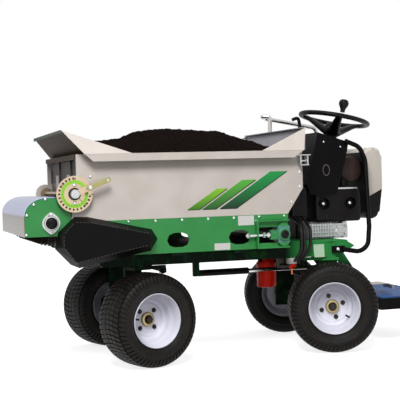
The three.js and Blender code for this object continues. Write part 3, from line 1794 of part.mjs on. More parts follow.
function steeringWheel() {
  const group = new THREE.Group();
  group.position.set(steering.x, 0, steering.z);
  group.rotation.y = steering.tilt;
  machine.add(group);
  const rimRing = new THREE.TorusGeometry(steering.rimRadius, steering.rimTube, facets.pin, facets.wheel);
  const hub = bar("z", steering.hubRadius, [-steering.hubBottom, -steering.hubTop], [0, 0], facets.boss);
  const shaft = bar(
    "z",
    steering.shaftRadius,
    [-steering.columnFoot + 4 * overrun, -steering.hubTop],
    [0, 0],
  );
  const spokes = [90, 210, 330].map((angle) => {
    const root = [steering.spokeRoot, -steering.hubTop - steering.spokeThickness];
    const tip = [steering.rimRadius, 0];
    const half = steering.spokeThickness / 2;
    const side = outline([
      [root[0], root[1] - half],
      [tip[0], tip[1] - half],
      [tip[0], tip[1] + half],
      [root[0], root[1] + half],
    ]);
    return sidePlate(side, [-steering.spokeWidth / 2, steering.spokeWidth / 2]).rotateZ(angle * degree);
  });
  const knobX = steering.rimRadius * Math.cos(steering.knobAngle);
  const knobY = steering.rimRadius * Math.sin(steering.knobAngle);
  const base = bar(
    "z",
    steering.knobNeck,
    [-steering.rimTube / 2, steering.rimTube + steering.knobPin],
    [knobX, knobY],
    facets.pin,
  );
  add("steering_wheel", join(rimRing, hub, shaft, ...spokes, base), black, group);
  const knobBase = steering.rimTube + steering.knobPin + gap;
  const knob = new THREE.LatheGeometry(
    [
      [0, 0],
      [steering.knobNeck, 0],
      [steering.knobNeck, steering.knobHeight / 4],
      [steering.knobRadius * 0.8, steering.knobHeight * 0.6],
      [steering.knobRadius, steering.knobHeight * 0.9],
      [steering.knobRadius * 0.8, steering.knobHeight * 1.15],
      [0, steering.knobHeight * 1.3],
    ].map(([r, z]) => new THREE.Vector2(r, z)),
    facets.boss,
  ).rotateX(Math.PI / 2);
  const mesh = add("spinner_knob", knob, black, group);
  mesh.position.set(knobX, knobY, knobBase);
}

function guardTubePart() {
  const padY = -railOuter - frame.uprightSheet - gap;
  const footY = padY - guardTube.footThickness;
  const topY = -consoleBox.half - 2 * gap - guardTube.radius;
  const route = [
    [guardTube.startX, footY, guardTube.startZ],
    [guardTube.lowX, footY, guardTube.lowZ],
    [guardTube.turnX, footY, guardTube.turnZ],
    [guardTube.riseX, footY + guardTube.riseInward, guardTube.riseZ],
    [guardTube.shoulderX, topY, guardTube.shoulderZ],
    [guardTube.neckX, topY, guardTube.neckZ],
    [guardTube.endX, topY, guardTube.endZ],
  ];
  const foot = block(
    [guardTube.footX, guardTube.footX + guardTube.footLength],
    [footY, padY],
    [guardTube.footZ - guardTube.footHeight / 2, guardTube.footZ + guardTube.footHeight / 2],
  );
  add("guard_tube", join(tube(route, guardTube.radius, guardTube.bend), foot), black);
}

function grabRailPart() {
  const route = [
    [hopper.rear + gap, grabRail.postY, grabRail.postFoot],
    [grabRail.postX, grabRail.postY, grabRail.postFoot],
    [grabRail.loopX, grabRail.postY, grabRail.loopTop],
    [grabRail.noseX, grabRail.noseY, grabRail.noseZ],
    [grabRail.barX, grabRail.barY, grabRail.barZ],
    [grabRail.backX, grabRail.barY, grabRail.backZ],
    [grabRail.dropX, grabRail.dropY, grabRail.dropZ],
    [grabRail.lowX, grabRail.lowY, grabRail.lowZ],
    [grabRail.endX, grabRail.endY, grabRail.endZ],
    [grabRail.endX, consoleBox.half + gap, grabRail.endZ],
  ];
  add("grab_rail", tube(route, grabRail.radius, grabRail.bend, facets.pin), chrome);
}

function controlLever() {
  const x = consoleBox.leverX;
  const y = consoleBox.leverY;
  const half = consoleBox.leverGap - gap;
  const barrel = bar("y", lever.barrel, [y - half, y + half], [x, leverPivotZ], facets.bar);
  const stick = tube(
    [
      [x, y, leverPivotZ + lever.barrel / 2],
      [x + lever.kneeForward, y, leverPivotZ + lever.kneeRise],
      [x - lever.headBack, y, leverPivotZ + lever.headRise],
      [x - lever.gripBack, y, leverPivotZ + lever.gripRise],
    ],
    lever.radius,
    lever.bend,
    facets.pin,
  );
  const hole = bar(
    "y",
    bore(lever.barrel / 2, facets.pin),
    [y - half - overrun, y + half + overrun],
    [x, leverPivotZ],
    facets.pin,
  );
  add("control_lever", cut(join(barrel, stick), hole), black);
}

// Platform: a folding deck with a mat and a treadle. Each arm runs between two of the deck's lugs, whose
// middles
// lie this many arm thicknesses to its sides.
const lugShares = [-1.5, 1.5];

function platformDeck() {
  const shell = block(
    [platform.front, platform.rear],
    [-platform.half, platform.half],
    [platform.bottom, platform.top],
  );
  const hollow = block(
    [platform.front + platform.wall, platform.rear - platform.wall],
    [-platform.half + platform.wall, platform.half - platform.wall],
    [platform.bottom - overrun, platform.top - platform.wall],
  );
  const pinEnd = platform.armY + 2 * platform.armThickness;
  const pin = bar("y", platform.pinRadius, [-pinEnd, pinEnd], [platform.hingeX, platform.hingeZ]);
  const lugs = sides.flatMap(([, side]) =>
    lugShares.map((share) => {
      const y = platform.armY + share * platform.armThickness;
      return block(
        [platform.hingeX - platform.pinRadius, platform.front + weld],
        across(side, y - platform.wall, y + platform.wall),
        [platform.hingeZ - platform.lugDrop, platform.hingeZ + platform.pinRadius],
      );
    }),
  );
  add("platform_deck", join(cut(shell, hollow), pin, ...lugs), black);
}

function platformMat() {
  const bottom = platform.top + gap;
  const mat = block(
    [platform.front + platform.matInset, platform.rear - platform.matInset],
    [-platform.half + platform.matInset, platform.half - platform.matInset],
    [bottom, bottom + platform.mat],
  );
  add("platform_mat", mat, blue);
}

function footPedal() {
  const bottom = platform.top + gap + platform.mat + gap;
  const shape = new THREE.Shape();
  shape.moveTo(pedal.front, pedal.top - pedal.sheet);
  shape.lineTo(pedal.flatEnd, pedal.top - pedal.sheet);
  shape.quadraticCurveTo(
    pedal.noseX - pedal.sheet,
    pedal.top - pedal.sheet,
    pedal.noseX - pedal.sheet,
    pedal.noseZ,
  );
  shape.lineTo(pedal.noseX, pedal.noseZ);
  shape.quadraticCurveTo(pedal.noseX, pedal.top, pedal.flatEnd, pedal.top);
  shape.lineTo(pedal.front, pedal.top);
  const tread = sidePlate(shape, [-pedal.nearY, -pedal.farY], facets.bend);
  const pivotZ = bottom + pedal.pivotRadius;
  const posts = [-pedal.nearY, -pedal.farY - pedal.postThickness].map((y) =>
    block(
      [pedal.pivotX - pedal.pivotRadius / 2, pedal.pivotX + pedal.pivotRadius / 2],
      [y, y + pedal.postThickness],
      [pivotZ, pedal.top - weld],
    ),
  );
  const pivot = bar("y", pedal.pivotRadius, [-pedal.nearY, -pedal.farY], [pedal.pivotX, pivotZ]);
  add("foot_pedal", join(tread, pivot, ...posts), beige);
}

// Running gear. A corner is built round its kingpin with the wheel straight, then turned to its rest angle.
const hubZ = tyre.radius;
const plateTop = bossFoot - gap - hubZ;
const plateBottom = plateTop - axles.plateThickness;

function arm(end, rootHalf) {
  const [x, y] = end;
  const length = Math.hypot(x, y);
  const shape = new THREE.Shape();
  shape.moveTo(0, -rootHalf);
  shape.lineTo(length, -axles.armHalf);
  shape.absarc(length, 0, axles.armHalf, -Math.PI / 2, Math.PI / 2);
  shape.lineTo(0, rootHalf);
  const flat = new THREE.ExtrudeGeometry(shape, {
    depth: axles.plateThickness - 2 * gap,
    bevelEnabled: false,
    curveSegments: facets.bend,
  });
  return flat.rotateZ(Math.atan2(y, x)).translate(0, 0, plateBottom + gap);
}

function wheelLeg(name, group, armWay, withCylinderArm) {
  const tie = [armWay * axles.tieArm, 0];
  const uprightRing = (y) =>
    [
      [axles.footHalf, y, -axles.sideFoot],
      [-axles.footHalf, y, -axles.sideFoot],
      [-axles.plateHalf - weld, y, plateTop - weld],
      [axles.plateHalf + weld, y, plateTop - weld],
    ].map((point) => new THREE.Vector3(...point));
  const upright = loft(uprightRing(axles.sideInner - axles.sideThickness), uprightRing(axles.sideInner));
  const parts = [
    block(
      [-axles.plateHalf, axles.plateHalf],
      [-axles.plateOuter, axles.sideInner - weld],
      [plateBottom, plateTop],
    ),
    upright,
    bar("z", axles.pinRadius, [plateTop - weld, railTop - axles.capRecess + gap + weld - hubZ], [0, 0]),
    bar(
      "z",
      axles.capRadius,
      [railTop - axles.capRecess + gap - hubZ, railTop - axles.capRecess + gap + axles.capThickness - hubZ],
      [0, 0],
      facets.boss,
    ),
    bar("y", axles.motorRadius, [-axles.motorNose, axles.sideInner - weld], [0, 0], facets.boss),
    bar("y", axles.motorBack, [axles.sideInner - weld, axles.motorInboard], [0, 0], facets.bar),
    bar("y", axles.spindleRadius, [-axles.kingpinInset - rim.hubProud, 0], [0, 0], facets.bar),
    arm(tie, axles.plateHalf / 1.5),
    bar("z", axles.jointPin, [plateBottom - axles.jointDrop, plateBottom + weld], tie, facets.pin),
  ];
  if (withCylinderArm) {
    const drop = cylinder.z - cylinder.eyeThickness / 2 - hubZ;
    parts.push(arm([0, axles.cylinderArm], axles.plateHalf));
    parts.push(bar("z", cylinder.pinRadius, [drop, plateBottom + weld], [0, axles.cylinderArm], facets.pin));
  }
  add(name, join(...parts), green, group);
}

function wheelRim(name, group) {
  const inner = rim.seatRadius - rim.wall;
  const well = rim.wellRadius - rim.wall;
  const face = -rim.discOffset;
  const profile = [
    [rim.lipRadius, rim.lipHalf],
    [rim.lipRadius, rim.lipHalf - rim.lipThickness],
    [rim.seatRadius, rim.seatEdge],
    [rim.seatRadius, rim.seatEnd],
    [rim.wellRadius, rim.wellHalf],
    [rim.wellRadius, -rim.wellHalf],
    [rim.seatRadius, -rim.seatEnd],
    [rim.seatRadius, -rim.seatEdge],
    [rim.lipRadius, -rim.lipHalf + rim.lipThickness],
    [rim.lipRadius, -rim.lipHalf],
    [inner, -rim.seatEdge],
    [well, face - rim.discThickness - rim.dishDepth],
    [rim.dishRadius, face - rim.discThickness],
    [axles.spindleRadius + rim.wall, face - rim.discThickness],
    [axles.spindleRadius + rim.wall, face],
    [rim.dishRadius - rim.wall, face],
    [well, face + rim.dishDepth],
    [well, rim.wellHalf],
    [inner, rim.seatEdge],
  ].map(([r, out]) => new THREE.Vector2(r, -out));
  profile.push(profile[0].clone());
  const body = new THREE.LatheGeometry(profile, facets.wheel).rotateY(Math.PI / facets.wheel);
  const hub = bar("y", rim.hubRadius, [-face - rim.hubProud, -face + rim.discThickness], [0, 0], facets.bar);
  const heads = Array.from({ length: rim.bolts }, (_, i) => {
    const angle = (2 * Math.PI * (i + 0.5)) / rim.bolts;
    return bar(
      "y",
      rim.boltRadius,
      [-face - rim.boltHead, -face + weld],
      [rim.boltCircle * Math.cos(angle), rim.boltCircle * Math.sin(angle)],
      6,
    );
  });
  const hole = bar(
    "y",
    bore(axles.spindleRadius),
    [-face - rim.hubProud - overrun, -face + rim.discThickness + overrun],
    [0, 0],
  );
  add(name, cut(join(body, hub, ...heads), hole), white, group);
}

function tyreOn(name, group) {
  const round = 1 / Math.cos(Math.PI / facets.wheel);
  const clear = (rim.seatRadius + gap) * 1.003;
  const beadOuter = rim.lipHalf - rim.lipThickness - gap * 2;
  const tread = (r, out) => new THREE.Vector2(r * round, out);
  const bead = (r, out) => new THREE.Vector2(r, out);
  const half = [
    tread(tyre.radius, tyre.crownHalf),
    tread(tyre.shoulderRadius, tyre.shoulderHalf),
    tread(tyre.bulgeRadius, tyre.halfWidth),
    bead(rim.lipRadius, beadOuter),
    bead(clear, rim.seatHalf),
    bead(clear, rim.seatHalf - tyre.beadWidth),
    tread(tyre.radius - tyre.casing, tyre.innerHalf),
  ];
  const other = half.map((point) => new THREE.Vector2(point.x, -point.y)).reverse();
  const body = new THREE.LatheGeometry([...half, ...other, half[0].clone()], facets.wheel);
  body.rotateY(Math.PI / facets.wheel);
  add(name, fromSolid(toSolid(body)), rubber, group);
}

function corner(end, sideName, side) {
  const way = end === "front" ? -1 : 1;
  const steer = new THREE.Group();
  steer.position.set(way * kingpinX, side * kingpinY, hubZ);
  steer.rotation.z = -way * axles.steerRest + (side > 0 ? Math.PI : 0);
  machine.add(steer);
  wheelLeg(end + "_" + sideName + "_leg", steer, way * side, end === "rear" && side < 0);
  const wheel = new THREE.Group();
  wheel.position.y = -axles.kingpinInset;
  steer.add(wheel);
  wheelRim(end + "_" + sideName + "_rim", wheel);
  tyreOn(end + "_" + sideName + "_tyre", wheel);
}

// The end of a leg's arm at rest, in the machine's own axes; along and inboard are measured from the
// kingpin.
function armEnd(way, side, along, inboard) {
  const turn = -way * axles.steerRest;
  const local = [-way * along, -side * inboard];
  return [
    way * kingpinX + local[0] * Math.cos(turn) - local[1] * Math.sin(turn),
    side * kingpinY + local[0] * Math.sin(turn) + local[1] * Math.cos(turn),
  ];
}

const eyeTop = hubZ + plateBottom - gap;

function tieRod(name, way) {
  const ends = [-1, 1].map((side) => armEnd(way, side, axles.tieArm, 0));
  const z = eyeTop - axles.eyeHeight / 2;
  const rod = bar("y", axles.tieRodRadius, [ends[0][1], ends[1][1]], [ends[0][0], z], facets.pin);
  const level = [eyeTop - axles.eyeHeight, eyeTop];
  const eyes = ends.map((at) => bar("z", axles.eyeRadius, level, at, facets.bar));
  const holes = ends.map(
    (at) => bar("z", bore(axles.jointPin, facets.pin), [level[0] - overrun, level[1] + overrun], at, facets.pin),
  );
  add(name, cut(join(rod, ...eyes), ...holes), black);
}

function steeringCylinder() {
  const end = armEnd(1, -1, 0, axles.cylinderArm);
  const root = -frame.cylinderPost + gap;
  const level = [cylinder.z - cylinder.eyeThickness / 2, cylinder.z + cylinder.eyeThickness / 2];
  const axis = [end[1], cylinder.z];
  const base = block(
    [root, root + cylinder.eyeRadius],
    [end[1] - frame.postHalf, end[1] + frame.postHalf],
    level,
  );
  const mouth = root + cylinder.length;
  const rodEnd = mouth - cylinder.inside;
  const barrel = cut(
    bar("x", cylinder.radius, [root + weld, mouth], axis),
    bar("x", bore(cylinder.rodRadius), [rodEnd - cylinder.stroke, mouth + overrun], axis),
  );
  add("steering_cylinder", join(base, barrel), black);
  const eye = bar("z", cylinder.eyeRadius, level, end, facets.boss);
  const hole = bar("z", cylinder.eyeBore, [level[0] - overrun, level[1] + overrun], end, facets.boss);
  add("cylinder_rod", cut(join(bar("x", cylinder.rodRadius, [rodEnd, end[0]], axis), eye), hole), chrome);
}

// Hydraulic tank behind the hopper, with the hoses that run down from it to the frame.
function tankAndHoses() {
  const body = block([hopper.rear + gap, tank.back], [-tank.half, tank.half], [tank.foot, tank.top]);
  const hoses = hose.routes.map((route) => tube(route, hose.radius, hose.bend, facets.hose));
  const ys = [-manifold.outside, -manifold.inside];
  const valve = block([manifold.from, manifold.to], ys, [manifold.foot, frame.railBottom - gap]);
  add("tank_and_hoses", join(body, ...hoses, valve), rubber);
}

for (const [name, side] of sides) {
  frameRail(name + "_frame_rail", side);
  conveyorSide(name + "_conveyor_side", side);
  takeUpBearing(name + "_take_up", side);
  hopperSide(name + "_hopper_side", side);
  brushPlate(name + "_brush_plate", side);
  corner("front", name, side);
  corner("rear", name, side);
}
add("front_crossmember", crossTube(-kingpinX), green);
rearCrossmember();
conveyorBelt();
conveyorBed();
headRoller();
tailRoller();
frontWall();
rearWall();
meteringGate();
gateShaft();
gateDial();
dialLever();
brushCover();
rotaryBrush();
brushBearing();
brushDriveMotor();
motorSprocket();
conveyorMotor();
driveChain();
chainGuard();
engineBlock();
engineShroud();
fanCover();
oilFilter();
consoleUnit();
steeringWheel();
guardTubePart();
grabRailPart();
controlLever();
platformDeck();
platformMat();
footPedal();
tieRod("front_tie_rod", -1);
tieRod("rear_tie_rod", 1);
steeringCylinder();
tankAndHoses();

// The origin is on the ground, under the middle of the machine's box.
const model = new THREE.Group();
model.add(machine);
machine.updateMatrixWorld(true);
const box = new THREE.Box3().setFromObject(machine, true);
const centre = box.getCenter(new THREE.Vector3());
machine.position.set(-centre.x, -centre.y, -box.min.z);

export default model;
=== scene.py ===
# %% [markdown]
# # A stand-on topdresser, dressed for its picture
# The machine spreads compost or sand on turf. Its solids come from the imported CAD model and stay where
# they are. This lesson gives each one a real finish, and replaces the round and moulded ones by finer
# pieces that ride on the same bodies. Shapes are drawn in the machine's own millimetres, because that is
# how a maker's drawing would give them, and one function turns them into the metres of the frame.

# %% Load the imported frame
import json
import math
import random

import bmesh
import bpy
from mathutils import Matrix, Vector
from mathutils import noise as lumps


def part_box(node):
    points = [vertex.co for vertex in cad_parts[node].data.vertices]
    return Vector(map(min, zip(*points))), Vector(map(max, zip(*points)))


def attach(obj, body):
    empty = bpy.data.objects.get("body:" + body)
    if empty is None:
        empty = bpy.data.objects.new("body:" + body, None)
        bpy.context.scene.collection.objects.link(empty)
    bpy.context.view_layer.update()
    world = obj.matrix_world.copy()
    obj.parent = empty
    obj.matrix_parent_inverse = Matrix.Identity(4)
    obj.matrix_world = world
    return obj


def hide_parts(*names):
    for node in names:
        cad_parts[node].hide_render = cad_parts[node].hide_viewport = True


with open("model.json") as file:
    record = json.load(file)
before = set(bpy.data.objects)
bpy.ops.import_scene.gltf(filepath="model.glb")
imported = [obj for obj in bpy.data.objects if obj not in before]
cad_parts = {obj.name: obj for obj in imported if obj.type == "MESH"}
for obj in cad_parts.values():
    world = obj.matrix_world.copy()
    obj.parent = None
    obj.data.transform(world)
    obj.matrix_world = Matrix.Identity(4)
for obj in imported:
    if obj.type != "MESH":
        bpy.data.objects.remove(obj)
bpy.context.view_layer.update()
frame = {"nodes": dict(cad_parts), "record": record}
nodes = frame["nodes"]
slot_of = {part["node"]: part["material_slot"] for part in frame["record"]["subparts"]}
MM = 0.001
ORIGIN_X = 44.0  # where the frame's zero stands along the drawing


# %% [markdown]
# ## The camera
# The photograph was taken from the front left corner, at about the height of the hopper's belly. The
# numbers below were worked out by matching known corners of the machine to their places in the photo:
# a long lens far away, turned a little from the side, a touch downwards, with a slight roll.


# %% Set the camera
def linked(name, data):
    """Make an object that shows some data, and link it to the scene."""
    thing = bpy.data.objects.new(name, data)
    bpy.context.scene.collection.objects.link(thing)
    return thing


camera_at = (-1.57426, -4.57790, 0.78835)
azimuth, pitch, roll = (math.radians(a) for a in (17.598, 1.0208, -1.6068))
camera_data = bpy.data.cameras.new("photo camera")
camera_data.sensor_fit = "HORIZONTAL"
camera_data.sensor_width = 36.0
camera_data.lens = 91.62
camera_data.clip_start = 0.05
camera_data.clip_end = 100.0
camera = linked("photo camera", camera_data)
bpy.context.scene.camera = camera
forward = Vector(
    (math.sin(azimuth) * math.cos(pitch), math.cos(azimuth) * math.cos(pitch), -math.sin(pitch))
)
level = Vector((math.cos(azimuth), -math.sin(azimuth), 0.0))
upright = level.cross(forward)
across = level * math.cos(roll) + upright * math.sin(roll)
above = upright * math.cos(roll) - level * math.sin(roll)
looking = Matrix((across, above, -forward)).transposed().to_4x4()
camera.matrix_world = Matrix.Translation(camera_at) @ looking
print("camera", round(camera_data.lens, 1), "mm lens at", [round(c, 2) for c in camera.location])

# %% [markdown]
# ## Adding nodes
# One small function adds any node to any tree: a material's, the world's or a Geometry Nodes tree. It
# sets the node's own settings, then gives each input a constant or a link. A node that is given for an
# input stands for the first output that it uses, so a recipe reads from top to bottom. A Mix node has
# a socket of each kind under one name, so its colours go in by place: 6 and 7.


# %% Functions that add a node and give a colour
def plug(tree, node, sockets):
    """Give inputs of a node their constants and links."""
    for name, value in dict(sockets).items():
        if isinstance(value, bpy.types.Node):
            value = next(output for output in value.outputs if output.enabled)
        if isinstance(value, bpy.types.NodeSocket):
            tree.links.new(value, node.inputs[name])
        else:
            node.inputs[name].default_value = value
    return node


def add(tree, kind, sockets=(), **settings):
    """Add a node with its settings and its inputs."""
    node = tree.nodes.new(kind)
    for name, value in settings.items():
        setattr(node, name, value)
    return plug(tree, node, sockets)


def colour(code):
    """An sRGB hex colour as the linear numbers that a shader takes."""
    parts = [int(code[i : i + 2], 16) / 255 for i in (1, 3, 5)]
    linear = [c / 12.92 if c <= 0.04045 else ((c + 0.055) / 1.055) ** 2.4 for c in parts]
    return (*linear, 1.0)


turf_tone, ground_tone, white = colour("#383630"), colour("#f4f4f4"), colour("#ffffff")
print("the turf's tone is", [round(c, 3) for c in turf_tone[:3]], "in linear light")


# %% [markdown]
# ## Light and floor
# A plain pale floor, a pale world and three soft lamps: a large one above for the sky, a strong one
# high over the camera and a little to its left, and a weak one near the ground that opens the shade
# under the hopper. The world and the floor are white only to the rays that the camera, a reflection or
# a clear material sends. To every other ray they are greyer, as turf would be, so the underside of the machine
# stays dark while the picture keeps a white ground with the machine's shadow.


# %% Make the floor and the world
def to_the_eye(tree):
    """1 for camera, glossy and transmission rays, 0 for all others."""
    rays = add(tree, "ShaderNodeLightPath").outputs
    seen = add(
        tree, "ShaderNodeMath", {0: rays["Is Camera Ray"], 1: rays["Is Glossy Ray"]}, operation="MAXIMUM"
    )
    return add(tree, "ShaderNodeMath", {0: seen, 1: rays["Is Transmission Ray"]}, operation="MAXIMUM")


floor_mesh = bpy.data.meshes.new("floor")
reach, floor_glow, world_dim, world_white = 30.0, 0.8, 0.34, 1.0
floor_mesh.from_pydata(
    [(-reach, -reach, 0), (reach, -reach, 0), (reach, reach, 0), (-reach, reach, 0)], [], [(0, 1, 2, 3)]
)
floor = linked("floor", floor_mesh)
floor_paint = bpy.data.materials.new("pale floor")
floor_paint.use_nodes = True
tree = floor_paint.node_tree
tree.nodes.clear()
seen = to_the_eye(tree)
floor_tone = add(tree, "ShaderNodeMix", {0: seen, 6: turf_tone, 7: ground_tone}, data_type="RGBA")
floor_shader = add(tree, "ShaderNodeBsdfDiffuse", {"Color": floor_tone})
lift = add(tree, "ShaderNodeMath", {0: seen, 1: floor_glow}, operation="MULTIPLY")
glow = add(tree, "ShaderNodeEmission", {"Color": white, "Strength": lift})
both = add(tree, "ShaderNodeAddShader", {0: floor_shader, 1: glow})
add(tree, "ShaderNodeOutputMaterial", {"Surface": both})
floor_mesh.materials.append(floor_paint)

world = bpy.data.worlds.new("soft studio")
bpy.context.scene.world = world
world.use_nodes = True
tree = world.node_tree
tree.nodes.clear()
strength = add(
    tree, "ShaderNodeMapRange", {"Value": to_the_eye(tree), "To Min": world_dim, "To Max": world_white}
)
sky = add(tree, "ShaderNodeBackground", {"Color": white, "Strength": strength})
add(tree, "ShaderNodeOutputWorld", {"Surface": sky})
bpy.context.scene.view_settings.view_transform = "Standard"
print("floor of", 2 * reach, "m, and a world of", world_dim, "to all but the eye")

# %% Hang the lamps
aim_at = Vector((0.0, 0.0, 0.5))
for name, place, size, watts in (
    ("sky lamp", (-0.3, -0.4, 4.4), 4.0, 30.0),
    ("front lamp", (-1.7, -3.7, 4.2), 2.2, 215.0),
    ("low fill", (-0.3, -3.0, 0.5), 1.2, 7.0),
):
    lamp_data = bpy.data.lights.new(name, "AREA")
    lamp_data.shape = "DISK"
    lamp_data.size = size
    lamp_data.energy = watts
    turn = (aim_at - Vector(place)).to_track_quat("-Z", "Y").to_matrix().to_4x4()
    linked(name, lamp_data).matrix_world = Matrix.Translation(place) @ turn
    print(name, "of", watts, "W")

# %% [markdown]
# ## Finishes
# Each finish starts from what the real surface is. Sheet steel is powder coated: a nearly smooth skin
# with a faint orange peel, a little darker where hands and weather reach, and dusted with soil low
# down. The recipe is one function, because the paints differ only in colour, gloss and dust.


# %% Powder-coated steel
def opened(finish):
    """What it takes to add to a finish: its tree, its shader and the Object coordinates."""
    tree = finish.node_tree
    return tree, tree.nodes["Principled BSDF"], add(tree, "ShaderNodeTexCoord").outputs["Object"]


def new_finish(title):
    """A new finish, and what it takes to add to it."""
    finish = bpy.data.materials.new(title)
    finish.use_nodes = True
    return finish, *opened(finish)


def powder_coat(title, face, shade, gloss_rough, dust, dust_top=0.5, shine=0.5):
    """Powder coat: two close tones in clouds, dust that thins out with height, fine peel."""
    finish, tree, shader, place = new_finish(title)
    clouds_mm, specks_mm, peel_mm = 120, 14, 1.6
    clouds = add(tree, "ShaderNodeTexNoise", {"Vector": place, "Scale": 1000 / clouds_mm, "Detail": 4.0})
    soft = add(tree, "ShaderNodeMapRange", {"Value": clouds, "From Min": 0.35, "From Max": 0.75})
    tones = add(tree, "ShaderNodeMix", {0: soft, 6: colour(face), 7: colour(shade)}, data_type="RGBA")
    height = add(tree, "ShaderNodeSeparateXYZ", {"Vector": place}).outputs["Z"]
    fall = {"From Min": 0.05, "From Max": dust_top, "To Min": dust, "To Max": 0.02}
    low = add(tree, "ShaderNodeMapRange", {"Value": height, **fall})
    specks = add(
        tree,
        "ShaderNodeTexNoise",
        {"Vector": place, "Scale": 1000 / specks_mm, "Detail": 6.0, "Roughness": 0.7},
    )
    caught = add(tree, "ShaderNodeMath", {0: specks, 1: low}, operation="MULTIPLY")
    dusted = add(tree, "ShaderNodeMix", {0: caught, 6: tones, 7: colour("#5a4a3a")}, data_type="RGBA")
    gloss = {"To Min": gloss_rough, "To Max": gloss_rough + 0.16}
    rough = add(tree, "ShaderNodeMapRange", {"Value": specks, **gloss})
    peel = add(tree, "ShaderNodeTexNoise", {"Vector": place, "Scale": 1000 / peel_mm, "Detail": 2.0})
    bump = add(tree, "ShaderNodeBump", {"Height": peel, "Strength": 0.12, "Distance": 0.0004})
    plug(tree, shader, {"Base Color": dusted, "Roughness": rough, "Normal": bump})
    plug(tree, shader, {"IOR": 1.5, "Specular IOR Level": shine})
    return finish


finishes = {
    "green_paint": powder_coat("green powder coat", "#35904a", "#2e8441", 0.36, 0.3, shine=0.3),
    "beige_paint": powder_coat("cream powder coat", "#d6cdc6", "#cac0b8", 0.42, 0.30),
    "black_paint": powder_coat("black satin powder coat", "#090809", "#060506", 0.38, 0.05, shine=0.06),
    "white_paint": powder_coat("white wheel enamel", "#e8e8f4", "#dedeec", 0.30, 0.12, 0.25),
    "red_paint": powder_coat("red filter enamel", "#ff2606", "#f41a04", 0.30, 0.0, shine=0.2),
    # painted shade: the front wall's coat, coloured below by height in the tones of its shade
    "front_grey": powder_coat(
        "front panel in weathered grey", "#8f8b88", "#7c7875", 0.55, 0.2, shine=0.1
    ),
    "rear_grey": powder_coat("rear flare in shaded grey", "#a3a2aa", "#8f8e98", 0.4, 0.1),
    "relief_grey": powder_coat("scuffed coat at the bend slots", "#6d6a68", "#4c4a49", 0.5, 0.1),
    "rib_grey": powder_coat("front ribs in light grey", "#c9c6c9", "#b5b2b3", 0.42, 0.05),
    "pale_green": powder_coat("green paint in full light", "#bfe0bd", "#aed6ae", 0.4, 0.1),
    "teal_paint": powder_coat("teal bearing enamel", "#4c8f7c", "#3f8070", 0.4, 0.3, 0.6),
    # painted shade: a coat for the frame's low members, darkened where they lie in the conveyor's shadow
    "painted_shade_green": powder_coat(
        "green powder coat with dried compost", "#35904a", "#2e8441", 0.5, 0.3, shine=0.06
    ),
}
print("painted:", ", ".join(finishes))

# %% [markdown]
# Bare and plated metals have full metallic and the default IOR; what differs is the tone, how wide the
# gloss spreads, and the direction of the fine scratches that rolling, brushing or casting leaves. The
# scratches are one noise stretched along the direction in which the metal was worked.


# %% Metals
def worked_metal(title, bright, dull, rough_low, rough_high, stretch, scratch):
    """A metal with a worked grain: noise stretched along one way, and a duller tone in clouds."""
    finish, tree, shader, place = new_finish(title)
    clouds_mm, grain_mm = 45, 3
    clouds = add(tree, "ShaderNodeTexNoise", {"Vector": place, "Scale": 1000 / clouds_mm, "Detail": 5.0})
    tones = add(tree, "ShaderNodeMix", {0: clouds, 6: colour(bright), 7: colour(dull)}, data_type="RGBA")
    drawn_out = add(tree, "ShaderNodeMapping", {"Vector": place, "Scale": stretch})
    grain = add(
        tree, "ShaderNodeTexNoise", {"Vector": drawn_out, "Scale": 1000 / grain_mm, "Detail": 4.0}
    )
    rough = add(tree, "ShaderNodeMapRange", {"Value": grain, "To Min": rough_low, "To Max": rough_high})
    bump = add(tree, "ShaderNodeBump", {"Height": grain, "Strength": scratch, "Distance": 0.0003})
    plug(tree, shader, {"Metallic": 1.0, "Base Color": tones, "Roughness": rough, "Normal": bump})
    return finish


even = (1, 1, 1)
finishes.update(
    {
        "zinc_plate": worked_metal("yellow zinc plate", "#b3a38a", "#9f8b78", 0.32, 0.52, even, 0.1),
        "bare_steel": worked_metal("worn bare steel", "#8d8a86", "#5e5a55", 0.35, 0.6, (0.1, 1, 1), 0.2),
        "cast_alloy": worked_metal("cast aluminium", "#c9cbcc", "#9b9c9c", 0.45, 0.7, even, 0.45),
        "chrome": worked_metal(
            "polished chrome tube", "#d5d3d2", "#b9b4b1", 0.12, 0.24, (0.2, 1, 1), 0.02
        ),
        "bright_zinc": worked_metal("bright zinc fasteners", "#cfd1d2", "#aeb0b1", 0.25, 0.4, even, 0.05),
        "stainless": worked_metal(
            "brushed stainless sheet", "#c9ccda", "#b9bccb", 0.2, 0.34, (1, 0.04, 1), 0.05
        ),
        "hub_tan": worked_metal("yellow-passivated hub cap", "#a59673", "#857653", 0.35, 0.55, even, 0.2),
        "dark_steel": worked_metal("blackened steel", "#3b3734", "#1f1c1a", 0.35, 0.55, even, 0.2),
        "copper": worked_metal("copper fitting", "#c9794c", "#9c5a38", 0.3, 0.5, even, 0.2),
        "olive_plate": worked_metal("olive chromate plate", "#9a9468", "#7c7750", 0.35, 0.55, even, 0.1),
    }
)
print("with metals:", len(finishes), "finishes")

# %% [markdown]
# Rubber and moulded plastic are dark, rough and hardly shiny. The tyres carry dry soil in their
# tread: a brown that comes in patches of some centimetres. The belt and hoses stay cleaner. Printed
# marks are a thin plastic film, so they use the same recipe with almost no relief.


